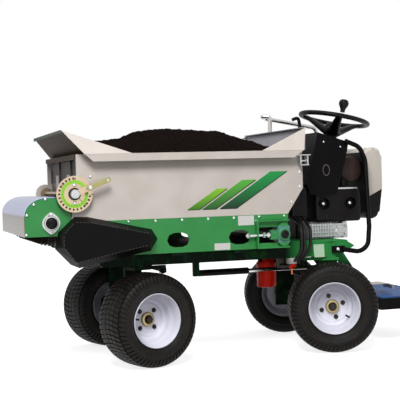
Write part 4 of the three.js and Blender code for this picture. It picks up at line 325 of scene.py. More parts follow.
# %% Rubber and plastic
def moulded(title, face, shade, rough, grain_mm, relief, dust=0.0, tone="#6b5644", patch_mm=30, shine=0.2):
    """Rubber or plastic: a fine moulded grain, two close tones, and dust in patches."""
    finish, tree, shader, place = new_finish(title)
    grain = add(tree, "ShaderNodeTexNoise", {"Vector": place, "Scale": 1000 / grain_mm, "Detail": 3.0})
    tones = add(tree, "ShaderNodeMix", {0: grain, 6: colour(face), 7: colour(shade)}, data_type="RGBA")
    patches = add(
        tree,
        "ShaderNodeTexNoise",
        {"Vector": place, "Scale": 1000 / patch_mm, "Detail": 6.0, "Roughness": 0.65},
    )
    spread = {"From Min": 0.42, "From Max": 0.72, "To Min": 0.0, "To Max": dust}
    cover = add(tree, "ShaderNodeMapRange", {"Value": patches, **spread})
    dusty = add(tree, "ShaderNodeMix", {0: cover, 6: tones, 7: colour(tone)}, data_type="RGBA")
    bump = add(tree, "ShaderNodeBump", {"Height": grain, "Strength": relief, "Distance": 0.0006})
    plug(tree, shader, {"Base Color": dusty, "Roughness": rough, "Normal": bump})
    plug(tree, shader, {"IOR": 1.5, "Specular IOR Level": shine})
    return finish


finishes.update(
    {
        "tyre_rubber": moulded(
            "turf tyre rubber", "#0f0e0e", "#0a0909", 0.55, 2.5, 0.3, 0.4, "#33291f", shine=0.16
        ),
        "belt_rubber": moulded("conveyor belt rubber", "#1d1c1b", "#151413", 0.7, 1.5, 0.3, 0.5),
        "hose_rubber": moulded("hydraulic hose rubber", "#121112", "#0b0a0b", 0.42, 1.2, 0.2, 0.04),
        "bristle": moulded("nylon bristle", "#161514", "#0d0c0c", 0.5, 1.5, 0.1, 0.4),
        "black_plastic": moulded(
            "black moulded plastic", "#0c0b0c", "#080708", 0.4, 0.8, 0.25, 0.04, shine=0.12
        ),
        "ivory_plastic": moulded(
            "off-white engine cover", "#d9d2c8", "#cfc7bd", 0.4, 0.9, 0.12, 0.06, "#a39a8e", 120
        ),
        "mat_blue": moulded("blue rubber mat", "#2f67ad", "#27589a", 0.55, 1.8, 0.3, 0.35),
        "brown_plastic": moulded("dark brown air cleaner", "#3a2c2a", "#2c211f", 0.5, 1.0, 0.2, 0.2),
        "deep_lime": moulded("printed green figures", "#6fae2c", "#63a024", 0.5, 1.0, 0.05),
        "lime": moulded("lime scale print", "#9fe04a", "#8fd23c", 0.5, 3.0, 0.05),
        "print_black": moulded("black print", "#1a1d16", "#14160f", 0.5, 2.0, 0.05),
        "label_white": moulded("blank white plate", "#e4e3e0", "#d8d6d2", 0.45, 2.0, 0.05),
    }
)
print("with rubber and plastic:", len(finishes), "finishes")

# %% [markdown]
# The stainless brush cover is a mirror for whatever stands round it. In the photo its top shows the
# sky, pale violet, and its front shows the dark ground. A studio has neither, so a tint that changes
# with height stands for both: it is fixed to the sheet and doesn't move with the eye. The front of the
# hopper changes with height too: grey below, brown on the flare, and a lighter hem on its edge.

# %% Tint the stainless sheet and the front of the hopper
tree, shader, place = opened(finishes["stainless"])
height = add(tree, "ShaderNodeSeparateXYZ", {"Vector": place}).outputs["Z"]
top = add(tree, "ShaderNodeMapRange", {"Value": height, "From Min": 0.662, "From Max": 0.672})
sheen = add(tree, "ShaderNodeMapRange", {"Value": height, "From Min": 0.57, "From Max": 0.66})
ground = add(
    tree, "ShaderNodeMix", {0: sheen, 6: colour("#6a6056"), 7: colour("#4a423a")}, data_type="RGBA"
)
tinted = add(tree, "ShaderNodeMix", {0: top, 6: ground, 7: colour("#8d93b6")}, data_type="RGBA")
plug(tree, shader, {"Base Color": tinted})

# painted shade: the front wall is coloured by height, grey below, brown on the flare and a lighter grey-green
# on the hem
tree, shader, place = opened(finishes["front_grey"])
height = add(tree, "ShaderNodeSeparateXYZ", {"Vector": place}).outputs["Z"]
flare = add(tree, "ShaderNodeMapRange", {"Value": height, "From Min": 0.895, "From Max": 0.9})
hem = add(tree, "ShaderNodeMapRange", {"Value": height, "From Min": 1.004, "From Max": 1.006})
mottle = add(tree, "ShaderNodeTexNoise", {"Scale": 1000 / 60, "Detail": 5.0})
brown = add(
    tree, "ShaderNodeMix", {0: mottle, 6: colour("#4c3c2c"), 7: colour("#34281d")}, data_type="RGBA"
)
panel = add(tree, "ShaderNodeMix", {0: flare, 6: colour("#68625f"), 7: brown}, data_type="RGBA")
whole = add(tree, "ShaderNodeMix", {0: hem, 6: panel, 7: colour("#6d7266")}, data_type="RGBA")
plug(tree, shader, {"Base Color": whole})
print("tinted by height: stainless, front_grey")

# %% [markdown]
# Below the conveyor the frame lies in the shadow of the side plates, and that shade is painted: the
# same green coat is mixed with a near-black green in front of the engine and low on the legs, and its
# edge is broken up by a noise.

# %% Paint the shade under the conveyor on the frame
tree, shader, place = opened(finishes["painted_shade_green"])
unshaded_green = shader.inputs["Base Color"].links[0].from_socket
split = add(tree, "ShaderNodeSeparateXYZ", {"Vector": place}).outputs
fade = {"To Min": 1.0, "To Max": 0.0}
before = add(tree, "ShaderNodeMapRange", {"Value": split["X"], "From Min": 0.18, "From Max": 0.25, **fade})
below = add(tree, "ShaderNodeMapRange", {"Value": split["Z"], "From Min": 0.37, "From Max": 0.4, **fade})
either = add(tree, "ShaderNodeMath", {0: before, 1: below}, operation="MAXIMUM")
shade_noise = add(tree, "ShaderNodeTexNoise", {"Vector": place, "Scale": 1000 / 60, "Detail": 5.0})
shade_depth = add(tree, "ShaderNodeMapRange", {"Value": shade_noise, "From Min": 0.3, "From Max": 0.5, "To Min": 0.8})
amount = add(tree, "ShaderNodeMath", {0: either, 1: shade_depth}, operation="MULTIPLY")
# painted shade: a near-black green is mixed in where the frame lies in the conveyor's shadow
shade_painted = add(tree, "ShaderNodeMix", {0: amount, 6: unshaded_green, 7: colour("#0a160c")}, data_type="RGBA")
plug(tree, shader, {"Base Color": shade_painted})
low_nodes = ["near_frame_rail", "far_frame_rail", "front_crossmember", "rear_crossmember"]
low_nodes += ["front_near_leg", "front_far_leg", "rear_near_leg", "rear_far_leg"]
print("soiled:", ", ".join(low_nodes))

# %% [markdown]
# Every CAD node now takes the finish that the record names for it. The frame's low members take the
# coat with painted shade, and the front wall and the rear wall of the hopper get their own, in the
# painted shade of their flares.

# %% Dress the CAD nodes
own = {"front_wall": "front_grey", "rear_wall": "rear_grey", **dict.fromkeys(low_nodes, "painted_shade_green")}
for name, thing in nodes.items():
    thing.data.materials.clear()
    thing.data.materials.append(finishes[own.get(name, slot_of[name])])
print("dressed", len(nodes), "nodes,", len(own), "of them in a finish of their own")

# %% [markdown]
# ## Drawing round things
# Shapes are drawn in the machine's millimetres in a bmesh. Most of a machine is turned on a lathe, so
# the first tool turns an outline round an axis. The outline of a ring is closed and goes all the way
# round its section; any other starts and ends on the axis.

# %% Tools that turn an outline
near, far, up = (0, -1, 0), (0, 1, 0), (0, 0, 1)


def axes_of(way):
    """Two directions square to an axis, and the axis itself."""
    w = Vector(way).normalized()
    side = Vector((0, 0, 1)) if abs(w.z) < 0.99 else Vector((0, 1, 0))
    u = side.cross(w).normalized()
    return u, w.cross(u), w


def turned(shape, outline, centre, way, steps=48, loop=False):
    """Turn an outline of (radius, height) pairs round an axis, as a lathe does."""
    u, v, w = axes_of(way)
    rings = []
    for k in range(steps):
        a = 2 * math.pi * k / steps
        out = u * math.cos(a) + v * math.sin(a)
        rings.append([shape.verts.new(Vector(centre) + out * r + w * h) for r, h in outline])
    count = len(outline)
    for k in range(steps):
        here, there = rings[k], rings[(k + 1) % steps]
        for i in range(count if loop else count - 1):
            j = (i + 1) % count
            shape.faces.new((here[i], here[j], there[j], there[i]))


def ring(shape, outline, centre, way, steps=48):
    """Turn a closed outline, so that it makes a ring."""
    turned(shape, outline, centre, way, steps, loop=True)


print("a tool's own axes, seen from the near side:", [tuple(round(c) for c in a) for a in axes_of(near)])

# %% [markdown]
# Sheet and bar are flat outlines pushed into a slab. A brick is the slab between two values on each
# axis, and a side plate is one that stands along the machine, as the hopper's sides do.


# %% Tools that push an outline
def slab(shape, corners, push):
    """A flat outline pushed along a vector into a closed block."""
    low = [shape.verts.new(Vector(c)) for c in corners]
    high = [shape.verts.new(Vector(c) + Vector(push)) for c in corners]
    shape.faces.new(low)
    shape.faces.new(high[::-1])
    for i in range(len(low)):
        j = (i + 1) % len(low)
        shape.faces.new((low[i], high[i], high[j], low[j]))


def brick(shape, xs, ys, zs):
    """A block between two values on each axis."""
    corners = [(xs[0], ys[0], zs[0]), (xs[1], ys[0], zs[0]), (xs[1], ys[1], zs[0]), (xs[0], ys[1], zs[0])]
    slab(shape, corners, (0, 0, zs[1] - zs[0]))


def side_plate(shape, outline, ys):
    """A plate that stands along the machine: an outline of (x, z) pairs between two values of y."""
    slab(shape, [(x, ys[0], z) for x, z in outline], (0, ys[1] - ys[0], 0))


def drawn(*forms):
    """A new shape drawn by several tools: each form is a tool and what it takes after the shape."""
    shape = bmesh.new()
    for tool, *values in forms:
        tool(shape, *values)
    return shape


trial = drawn((brick, (0, 10), (0, 10), (0, 10)))
print("a brick of 10 mm holds", round(abs(trial.calc_volume(signed=True))), "mm3")
trial.free()

# %% [markdown]
# Tubes, hoses and spokes are a round section swept along a path. A tube bender can't make a sharp
# corner, so each corner of a route is rounded first.


# %% Tools that sweep a path
def rounded(points, bend, steps):
    """Round each corner of a path, as a tube bender does."""
    points = [Vector(p) for p in points]
    path = [points[0]]
    for before, corner, after in zip(points, points[1:], points[2:]):
        back, on = before - corner, after - corner
        turn = math.pi - back.angle(on)
        cut = min(bend * math.tan(turn / 2), 0.48 * back.length, 0.48 * on.length)
        a, b = corner + back.normalized() * cut, corner + on.normalized() * cut
        for k in range(steps + 1):
            t = k / steps
            path.append(a * (1 - t) ** 2 + corner * 2 * t * (1 - t) + b * t * t)
    return path + [points[-1]]


def swept(shape, path, radius, sides=16):
    """Sweep a round section along a path; a radius may be given for each point."""
    path = [Vector(p) for p in path]
    radii = radius if isinstance(radius, (list, tuple)) else [radius] * len(path)
    way = (path[1] - path[0]).normalized()
    u = axes_of(way)[0]
    rings = []
    for i, p in enumerate(path):
        ahead = path[min(i + 1, len(path) - 1)] - path[max(i - 1, 0)]
        ahead.normalize()
        u = (u - ahead * u.dot(ahead)).normalized()
        v = ahead.cross(u)
        section = []
        for k in range(sides):
            a = 2 * math.pi * k / sides
            section.append(shape.verts.new(p + (u * math.cos(a) + v * math.sin(a)) * radii[i]))
        rings.append(section)
    for here, there in zip(rings, rings[1:]):
        for k in range(sides):
            m = (k + 1) % sides
            shape.faces.new((here[k], here[m], there[m], there[k]))
    shape.faces.new(rings[0][::-1])
    shape.faces.new(rings[-1])


print("a square corner rounded in 8 steps has", len(rounded([(0, 0, 0), (9, 0, 0), (9, 9, 0)], 3, 8)), "points")

# %% [markdown]
# ## Making a piece
# `piece` merges what touches, turns the faces outwards, scales the mesh to metres, gives it its finish
# and lets it ride on its body. Most pieces ride on the chassis, so that is what it takes by itself.


# %% A function that finishes a piece
def piece(name, shape, finish, body="chassis", replaced=(), smooth=40.0, bevel=0.0, turn_out=True):
    """Make a drawn shape into a finished piece that rides on a body."""
    bmesh.ops.remove_doubles(shape, verts=shape.verts, dist=1e-4)
    if turn_out:
        bmesh.ops.recalc_face_normals(shape, faces=shape.faces)
    bmesh.ops.translate(shape, verts=shape.verts, vec=(-ORIGIN_X, 0, 0))
    bmesh.ops.scale(shape, verts=shape.verts, vec=(MM, MM, MM))
    mesh = bpy.data.meshes.new(name)
    shape.to_mesh(mesh)
    shape.free()
    for one in finish if isinstance(finish, (list, tuple)) else [finish]:
        mesh.materials.append(finishes[one])
    mesh.polygons.foreach_set("use_smooth", [True] * len(mesh.polygons))
    mesh.set_sharp_from_angle(angle=math.radians(smooth))
    thing = linked(name, mesh)
    if bevel:
        edge = thing.modifiers.new("rounded edges", "BEVEL")
        edge.width = bevel * MM
        edge.segments = 3
        edge.limit_method = "ANGLE"
        edge.angle_limit = math.radians(30)
    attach(thing, body)
    if replaced:
        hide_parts(*replaced)
    print(name, "on", body, "with", len(mesh.polygons), "faces")
    return thing


# %% [markdown]
# ## What repeats
# Bolts, bristles, cooling fins, tread blocks and the marks on the dial repeat by a rule, so Geometry
# Nodes make them. The first tree sets copies of an item in a row, round the Z axis, or both at once:
# each copy moves on by one step and turns by one angle. That covers fins (a step, no turn), dial marks
# (a turn, no step) and the spiral of the brush (both).


# %% A tree for rows, rings and spirals
def start_tree(title, **inputs):
    """A Geometry Nodes tree with named inputs; returns it and the outputs of its input node."""
    tree = bpy.data.node_groups.new(title, "GeometryNodeTree")
    tree.interface.new_socket(name="Mesh", in_out="INPUT", socket_type="NodeSocketGeometry")
    for name, kind in inputs.items():
        tree.interface.new_socket(name=name, in_out="INPUT", socket_type="NodeSocket" + kind)
    tree.interface.new_socket(name="Mesh", in_out="OUTPUT", socket_type="NodeSocketGeometry")
    return tree, add(tree, "NodeGroupInput").outputs


def end_tree(tree, copies, finish):
    """Realise the copies, give them their finish and hand them out."""
    real = add(tree, "GeometryNodeRealizeInstances", {0: copies})
    coated = add(tree, "GeometryNodeSetMaterial", {"Geometry": real, "Material": finish})
    add(tree, "NodeGroupOutput", {0: coated})
    print(tree.name, "has", len(tree.nodes), "nodes")


wanted = {"Item": "Object", "Count": "Int", "Step": "Vector", "Start": "Float", "Turn": "Float"}
row_tree, given = start_tree("rows, rings and spirals", **wanted, Finish="Material")
line = add(row_tree, "GeometryNodeMeshLine", {"Count": given["Count"], "Offset": given["Step"]})
order = add(row_tree, "GeometryNodeInputIndex")
angle = add(
    row_tree, "ShaderNodeMath", {0: order, 1: given["Turn"], 2: given["Start"]}, operation="MULTIPLY_ADD"
)
facing = add(row_tree, "ShaderNodeCombineXYZ", {"Z": angle})
item = add(row_tree, "GeometryNodeObjectInfo", {"Object": given["Item"]}).outputs["Geometry"]
copies = add(
    row_tree, "GeometryNodeInstanceOnPoints", {"Points": line, "Instance": item, "Rotation": facing}
)
end_tree(row_tree, copies, given["Finish"])

# %% [markdown]
# The second tree puts an item on every point of a mesh and turns its Z axis along the direction that
# is stored on that point: one call sets all the bolt heads of a panel. The third lays the blocks of a
# tyre's tread out flat, one row of blocks for each rib, before they are rolled on to the tyre.

# %% Trees for bolt heads and for tread blocks
bolt_tree, given = start_tree("items on points", Item="Object", Finish="Material")
way = add(bolt_tree, "GeometryNodeInputNamedAttribute", {"Name": "way"}, data_type="FLOAT_VECTOR")
aimed = add(bolt_tree, "FunctionNodeAlignRotationToVector", {"Vector": way}, axis="Z")
item = add(bolt_tree, "GeometryNodeObjectInfo", {"Object": given["Item"]}).outputs["Geometry"]
spots = add(bolt_tree, "GeometryNodeMeshToPoints", {"Mesh": given["Mesh"]})
copies = add(
    bolt_tree, "GeometryNodeInstanceOnPoints", {"Points": spots, "Instance": item, "Rotation": aimed}
)
end_tree(bolt_tree, copies, given["Finish"])

wanted = {"Round": "Int", "Ribs": "Int", "Length": "Float", "Spread": "Float", "Block": "Vector"}
tread_tree, given = start_tree("tread blocks laid flat", **wanted, Finish="Material")
size = {"Size X": given["Length"], "Size Y": given["Spread"]}
grid = add(
    tread_tree, "GeometryNodeMeshGrid", {**size, "Vertices X": given["Round"], "Vertices Y": given["Ribs"]}
)
finely = {"Vertices X": 2, "Vertices Y": 5, "Vertices Z": 2}
block = add(tread_tree, "GeometryNodeMeshCube", {"Size": given["Block"], **finely})
copies = add(tread_tree, "GeometryNodeInstanceOnPoints", {"Points": grid, "Instance": block})
end_tree(tread_tree, copies, given["Finish"])

# %% [markdown]
# A tree is run once on a carrier with a modifier, and what it makes is read back as a shape, so that
# it can be moved, bent round a tyre or merged with what was drawn. Then the carrier is thrown away.


# %% A function that runs a tree
def grow(tree, finish, points=(), item=None, **values):
    """Run a tree once and return what it makes as a bmesh; the carrier and the item are removed."""
    mesh = bpy.data.meshes.new("carrier")
    mesh.from_pydata([p for p, _ in points], [], [])
    if points:
        stored = mesh.attributes.new("way", "FLOAT_VECTOR", "POINT")
        stored.data.foreach_set("vector", [c for _, way in points for c in way])
    carrier = linked("carrier", mesh)
    if item is not None:
        bmesh.ops.remove_doubles(item, verts=item.verts, dist=1e-4)
        bmesh.ops.recalc_face_normals(item, faces=item.faces)
        item_mesh = bpy.data.meshes.new("item")
        item.to_mesh(item_mesh)
        item.free()
        values["Item"] = linked("item", item_mesh)
    values["Finish"] = finishes[finish]
    modifier = carrier.modifiers.new("grow", "NODES")
    modifier.node_group = tree
    for socket in tree.interface.items_tree:
        if socket.in_out == "INPUT" and socket.name in values:
            modifier[socket.identifier] = values[socket.name]
    bpy.context.view_layer.update()
    made = carrier.evaluated_get(bpy.context.evaluated_depsgraph_get())
    result = bpy.data.meshes.new_from_object(made)
    shape = bmesh.new()
    shape.from_mesh(result)
    for face in shape.faces:
        face.material_index = 0
    bpy.data.objects.remove(carrier)
    if item is not None:
        bpy.data.objects.remove(values["Item"])
    return shape


cube = drawn((brick, (0, 1), (0, 1), (0, 1)))
trial = grow(row_tree, "bright_zinc", item=cube, Count=3, Step=(2, 0, 0), Start=0.0, Turn=0.0)
print("three bricks in a row have", len(trial.faces), "faces")
trial.free()

# %% [markdown]
# Short calls keep the cells below easy to read: one for a row, a ring or a spiral, one for the domed
# heads of bolts and screws, one that moves a shape to its place and one that adds shapes together.


# %% Functions for rows, bolt heads and places
def in_row(item, finish, count, step=(0, 0, 0), start=0.0, turn=0.0):
    """Copies of an item in a row, a ring or a spiral."""
    return grow(row_tree, finish, item=item, Count=count, Step=step, Start=start, Turn=turn)


def bolt_heads(points, radius, height):
    """Domed bolt heads on (place, direction) pairs."""
    dome = [(0, height), (radius * 0.55, height * 0.86), (radius * 0.88, height * 0.48), (radius, 0), (0, -1)]
    return grow(bolt_tree, "bright_zinc", points, drawn((turned, dome, (0, 0, 0), up, 12)))


def placed(shape, centre, way=up, spin=0.0):
    """Move a shape that was drawn round the Z axis to its centre, with Z along a direction."""
    turn = Matrix(axes_of(way)).transposed().to_4x4() @ Matrix.Rotation(spin, 4, "Z")
    bmesh.ops.transform(shape, matrix=Matrix.Translation(centre) @ turn, verts=shape.verts)
    return shape


def merged(shape, other):
    """Add one drawn shape to another."""
    mesh = bpy.data.meshes.new("part")
    other.to_mesh(mesh)
    other.free()
    shape.from_mesh(mesh)
    return shape


trial = bolt_heads([((0, 0, 0), near), ((9, 0, 0), near)], 2.0, 1.0)
print("two bolt heads have", len(trial.faces), "faces")
trial.free()

# %% [markdown]
# ## Tyres
# Turf tyres spread the load on many low blocks. The carcass is a turned outline. Five ribs of blocks
# run round the crown and one row of fingers reaches down each shoulder; Geometry Nodes lay them out
# flat and each point is then rolled on to the same outline, so the blocks follow the crown's curve.
# The grooves bow back towards the shoulders, as on the real tread. The sidewalls stay blank.

# %% Roll a flat band on to the tyre's outline
crown, groove, tread_drop, tread_half = 203.0, 6.0, 9.5, 84.0
half_outline = [(w, crown - groove - tread_drop * (w / tread_half) ** 4) for w in range(0, 85, 7)]
half_outline += [(88.5, 180), (91.4, 171.5), (92.8, 163), (93.2, 157), (93.9, 155.6), (93.9, 153)]
half_outline += [(92.6, 151.4), (90.4, 141), (86, 131.5), (80.5, 124), (76, 119.6), (72.6, 117.4)]
inner_outline = [(64, 118), (74, 135), (82, 152), (83, 165), (76, 178), (40, 184), (0, 186)]
bow, tread_radius, blocks_round = 15.0, 200.0, 60


def roll_on(shape, centre, way):
    """Roll a flat band of blocks on to the tyre: x runs round it, y across its outline, z outwards."""
    u, v, w = axes_of(way)
    for vert in shape.verts:
        along, cross, high = vert.co
        side = -1.0 if cross < 0 else 1.0
        travel = abs(cross)
        for (w0, r0), (w1, r1) in zip(half_outline, half_outline[1:]):
            length = math.hypot(w1 - w0, r1 - r0)
            if travel <= length or (w1, r1) == half_outline[-1]:
                break
            travel -= length
        t = travel / length
        out_w, out_r = (r0 - r1) / length, (w1 - w0) / length
        wide = side * (w0 + (w1 - w0) * t + out_w * high)
        radius = r0 + (r1 - r0) * t + out_r * high
        a = (along + bow * (abs(cross) / tread_half) ** 1.6) / tread_radius
        vert.co = Vector(centre) + w * wide + (u * math.cos(a) + v * math.sin(a)) * radius
    return shape


print("outline of the tyre:", len(half_outline), "points outside,", len(inner_outline), "inside")

# %% [markdown]
# The tread is three bands: the five ribs of the crown, and a row of fingers for each shoulder that is
# shifted by half a block, so that a finger stands between two blocks.


# %% A function for the whole tyre
def tyre(corner, centre, way):
    """A turf tyre with its tread, riding on its own wheel."""
    length = 2 * math.pi * tread_radius
    pitch = length / blocks_round
    half = [(r, w) for w, r in half_outline + inner_outline]
    other = [(r, -w) for r, w in half[1:-1]][::-1]
    shape = drawn((ring, half + other, centre, way, 96))
    finger = (pitch - 7.0, 27.0, groove * 1.7)
    bands = [(5, 124.0, (pitch - 5.2, 26.5, groove * 2), (0, 0, 0))]
    bands += [(1, 0.0, finger, (pitch / 2, side * 93.0, 0)) for side in (-1, 1)]
    for ribs, spread, block, shift in bands:
        flat = {"Round": blocks_round, "Ribs": ribs, "Length": length - pitch, "Spread": spread}
        band = grow(tread_tree, "tyre_rubber", Block=block, **flat)
        bmesh.ops.translate(band, verts=band.verts, vec=shift)
        merged(shape, roll_on(band, centre, way))
    piece(corner + "_turf_tyre", shape, "tyre_rubber", corner + "_wheel", [corner + "_tyre"])


print("one block every", round(2 * math.pi * tread_radius / blocks_round, 1), "mm")

# %% [markdown]
# ## Rims
# The eight-inch rim is two pressings: a deep well barrel with rolled lips, and a dished disc that is
# held by four dark bolts on a 101.6 mm circle. The hub cap is yellow-passivated, with a dark nut in
# its mouth. One outline, turned once, gives barrel and disc; a ring of bolts comes from the row tree.

# %% Turn the rims and set their bolts
rim_outline = [(15.5, -9.4), (34, -9.4), (60, -9.4), (67, -8.6), (71, -5), (73.5, 0), (77, 2.6), (82, 4.4)]
rim_outline += [(86, 8), (88, 14), (88.4, 27), (90, 34), (95.5, 41), (100, 47), (101, 58), (103.6, 66)]
rim_outline += [(107.5, 70), (109.6, 76), (112.4, 79.6), (115.4, 80.2), (117.4, 78.4), (117.2, 76), (113, 75)]
rim_outline += [(105, 66), (104, 50), (93, 38), (92, -36), (104, -50), (105, -66), (113, -75), (117.2, -76)]
rim_outline += [(117.4, -78.4), (115.4, -80), (109.6, -76), (104, -66), (100.5, -60), (100, -48), (88.5, -36)]
rim_outline += [(88, -15), (60, -14.6), (15.5, -14.6)]
cap_line = [(31.5, -9.6), (31.5, 0), (29.5, 3.6), (25, 5.2), (20, 5.4), (19.2, 4), (19.2, -9.6)]
bolt_line = [(0, 9), (5.5, 9), (7.6, 7), (8, 4), (8, 0), (11, 0), (11, -2), (0, -2)]
nut_line = [(15.4, -2), (18.6, -2), (18.6, 12), (16.5, 16), (8, 17.4), (0, 17.6), (0, 14.8), (15.4, 14.8)]
bolt_ring, disc_face = 50.8, -9.0


def rim(corner, centre, way, first_bolt):
    """A painted rim with its hub cap, bolts and valve, riding on its wheel."""
    body = corner + "_wheel"
    u, v, w = axes_of(way)
    painted = drawn((ring, rim_outline, centre, way, 72))
    piece(corner + "_painted_rim", painted, "white_paint", body, [corner + "_rim"], 50)
    piece(corner + "_hub_cap", drawn((ring, cap_line, centre, way)), "hub_tan", body)
    head = drawn((turned, bolt_line, (bolt_ring, 0, 0), up, 12))
    bolts = in_row(head, "dark_steel", 4, start=first_bolt, turn=math.pi / 2)
    placed(bolts, Vector(centre) + w * disc_face, way)
    ring(bolts, nut_line, centre, way, 6)
    # the valve's stem leans out of the barrel, well between two bolts
    a = first_bolt - math.radians(232 if corner == "front_near" else 52)
    out = u * math.cos(a) + v * math.sin(a)
    foot = Vector(centre) + out * 90 + w * 22
    stem = [foot, foot - out * 6, foot - out * 16 + w * 7, foot - out * 24 + w * 13]
    swept(bolts, stem, [5.5, 5, 4.2, 4], 10)
    piece(corner + "_wheel_bolts", bolts, "dark_steel", body)


for corner, outward, first_bolt in (
    ("front_near", (0.3007, -0.9537, 0), 45),
    ("rear_near", (-0.3007, -0.9537, 0), 18),
    ("front_far", (-0.3007, 0.9537, 0), 45),
    ("rear_far", (0.3007, 0.9537, 0), 18),
):
    low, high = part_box(corner + "_tyre")
    middle = (low + high) / 2 / MM
    centre = (middle.x + ORIGIN_X, middle.y, crown)
    tyre(corner, centre, outward)
    rim(corner, centre, outward, math.radians(first_bolt))

# %% [markdown]
# ## The rotary brush and its cover
# The brush throws the compost off the belt's end. Its core carries tufts of stiff nylon in spirals.
# One tuft is seven thin spikes; the row tree sets it some hundreds of times along and round the core.
# The cover is one sheet bent over the brush, drawn as its outer line and the same line 2.5 mm inside.

# %% Bristles, core and cover
brush_at = (-847.0, 0.0, 634.0)
brush_half, tufts, cover_half, sheet = 350.0, 640, 377, 2.5
tuft = bmesh.new()
rng = random.Random(7)
for k in range(7):
    lean = Vector((1.0, rng.uniform(-0.06, 0.06), rng.uniform(-0.06, 0.06))).normalized()
    foot = Vector((27.0, rng.uniform(-2.5, 2.5), rng.uniform(-2.5, 2.5)))
    swept(tuft, [foot, foot + lean * rng.uniform(68, 72)], [1.5, 1.0], 3)
bristles = in_row(tuft, "bristle", tufts, (0, 0, 2 * brush_half / tufts), turn=math.radians(137.5))
placed(bristles, (brush_at[0], -brush_half, brush_at[2]), far)
core = [(0, -brush_half), (29, -brush_half), (29, brush_half), (0, brush_half)]
turned(bristles, core, brush_at, far, 32)
piece("brush_bristles", bristles, "bristle", "brush", ["rotary_brush"])

cover_line = [(-958, 579), (-958, 640), (-958, 667), (-957, 679), (-953.3, 690.2), (-947.4, 701.2)]
cover_line += [(-939.7, 711.1), (-929.8, 720.2), (-918.4, 727.7), (-905.6, 733.8), (-891.7, 738.3)]
cover_line += [(-877.2, 741.2), (-862, 742), (-830, 742), (-797, 742)]
outer = [Vector((x, 0, z)) for x, z in cover_line]
inner = []
for i, p in enumerate(outer):
    run = outer[min(i + 1, len(outer) - 1)] - outer[max(i - 1, 0)]
    inner.append(p + Vector((run.z, 0, -run.x)).normalized() * sheet)
cover = drawn((side_plate, [(p.x, p.z) for p in outer + inner[::-1]], (-cover_half, cover_half)))
piece("stainless_cover", cover, "stainless", replaced=["brush_cover"], smooth=28)

# %% [markdown]
# ## Fasteners
# The panels are held by domed carriage bolts, the console by small screws. Each head is set on all its
# points by the second tree. A point is given with the direction that its head faces, and both sides of
# the machine carry the same points.

# %% Set the heads of bolts and screws
panel = 375.6  # half the width over the hopper's sides
panel_bolts = (
    (378, [(-946, 671), (-916, 714), (-868, 735), (-950, 590)]),
    (panel, [(-517.9 + 118.4 * k, 627.3) for k in range(7)]),
    (panel, [(272, 886), (273, 821), (272, 756), (230, 688), (-676, 822)]),
)
console_screws = ((200.2, [(474, 960), (560, 936)]),)
for name, sites, radius, height in (
    ("panel_bolts", panel_bolts, 6.4, 4.2),
    ("console_screws", console_screws, 4.6, 2.6),
):
    points = [
        ((x, side * y, z), (0, side, 0)) for y, spots in sites for side in (-1, 1) for x, z in spots
    ]
    piece(name, bolt_heads(points, radius, height), "bright_zinc")

# %% [markdown]
# ## The load of compost
# The hopper is full of dark compost, heaped above the rail. A heap is a height over a grid: the
# outline seen in the photo sets the height along the machine, the sides fall off towards the rails,
# and noise at three sizes gives slumps, clods and crumbs. It rides on the chassis like any load.

# %% Heap the compost
ridge = [(-712, 930), (-640, 958), (-576, 984), (-505, 990), (-444, 998), (-388, 1024), (-300, 1035)]
ridge += [(-238, 1036), (-172, 1033), (-68, 1023), (0, 1018), (74, 989), (134, 971), (205, 946), (262, 918)]


def between(table, x):
    """Read a value between the points of a table."""
    for (x0, v0), (x1, v1) in zip(table, table[1:]):
        if x <= x1:
            return v0 + (v1 - v0) * max(0.0, (x - x0) / (x1 - x0))
    return table[-1][1]


shape = bmesh.new()
long_steps, wide_steps = 230, 170
heap_xs, heap_half, bed = (-700.0, 262.0), 370.0, 905.0
rows = []
for i in range(long_steps + 1):
    x = heap_xs[0] + (heap_xs[1] - heap_xs[0]) * i / long_steps
    row = []
    for j in range(wide_steps + 1):
        y = -heap_half + 2 * heap_half * j / wide_steps
        fall = 1 - abs(y / heap_half) ** 2.6
        top = bed + (between(ridge, x) - bed) * fall
        spot = Vector((x, y, 0))
        rough = 9 * lumps.noise(spot / 70) + 6 * lumps.noise(spot / 20) + 4.5 * lumps.noise(spot / 8)
        row.append(shape.verts.new((x, y, top + rough * (0.35 + 0.65 * fall))))
    rows.append(row)
for here, there in zip(rows, rows[1:]):
    for j in range(wide_steps):
        shape.faces.new((here[j], there[j], there[j + 1], here[j + 1]))
compost = moulded("dark screened compost", "#150f0e", "#0a0707", 1.0, 7.0, 1.0, 0.5, "#281c18", 11, 0.02)
compost.node_tree.nodes["Bump"].inputs["Distance"].default_value = 0.004
finishes["compost"] = compost
piece("compost_load", shape, "compost", smooth=60, turn_out=False)

# %% [markdown]
# ## The gate's dial and lever
# The dial sets how far the metering gate opens. It is a zinc-plated disc with a rim of radial slots
# that take a stop pin. The disc is one sector of a ring that repeats: a sector with a slot 19 times,
# then plain sectors for the part that has none. The slot of each sector is left open, so one looks
# through it at a black ring behind, which is painted shade for the shadow behind the dial.

# %% Cut the dial
dial_at = Vector((-750.0, -401.5, 752.0))
slots, first_slot, sweep, blanks = 19, math.radians(93.5), math.radians(257), 8
step = sweep / (slots - 1)
slot_share, dial_thick = 0.22, 3.0


def sector(turn, opened):
    """One sector of the dial, from its centre line outwards; a slot is left open."""
    shape = bmesh.new()
    cut = turn * slot_share
    edges = [-turn / 2, -cut, cut, turn / 2]
    for low, high in ((13, 60), (60, 69), (69, 76)):
        for k in range(3):
            if opened and k == 1 and low == 60:
                continue
            a0, a1 = edges[k], edges[k + 1]
            corners = [(low, a0), (high, a0), (high, a1), (low, a1)]
            slab(shape, [(r * math.cos(a), r * math.sin(a), 0) for r, a in corners], (0, 0, dial_thick))
    return shape


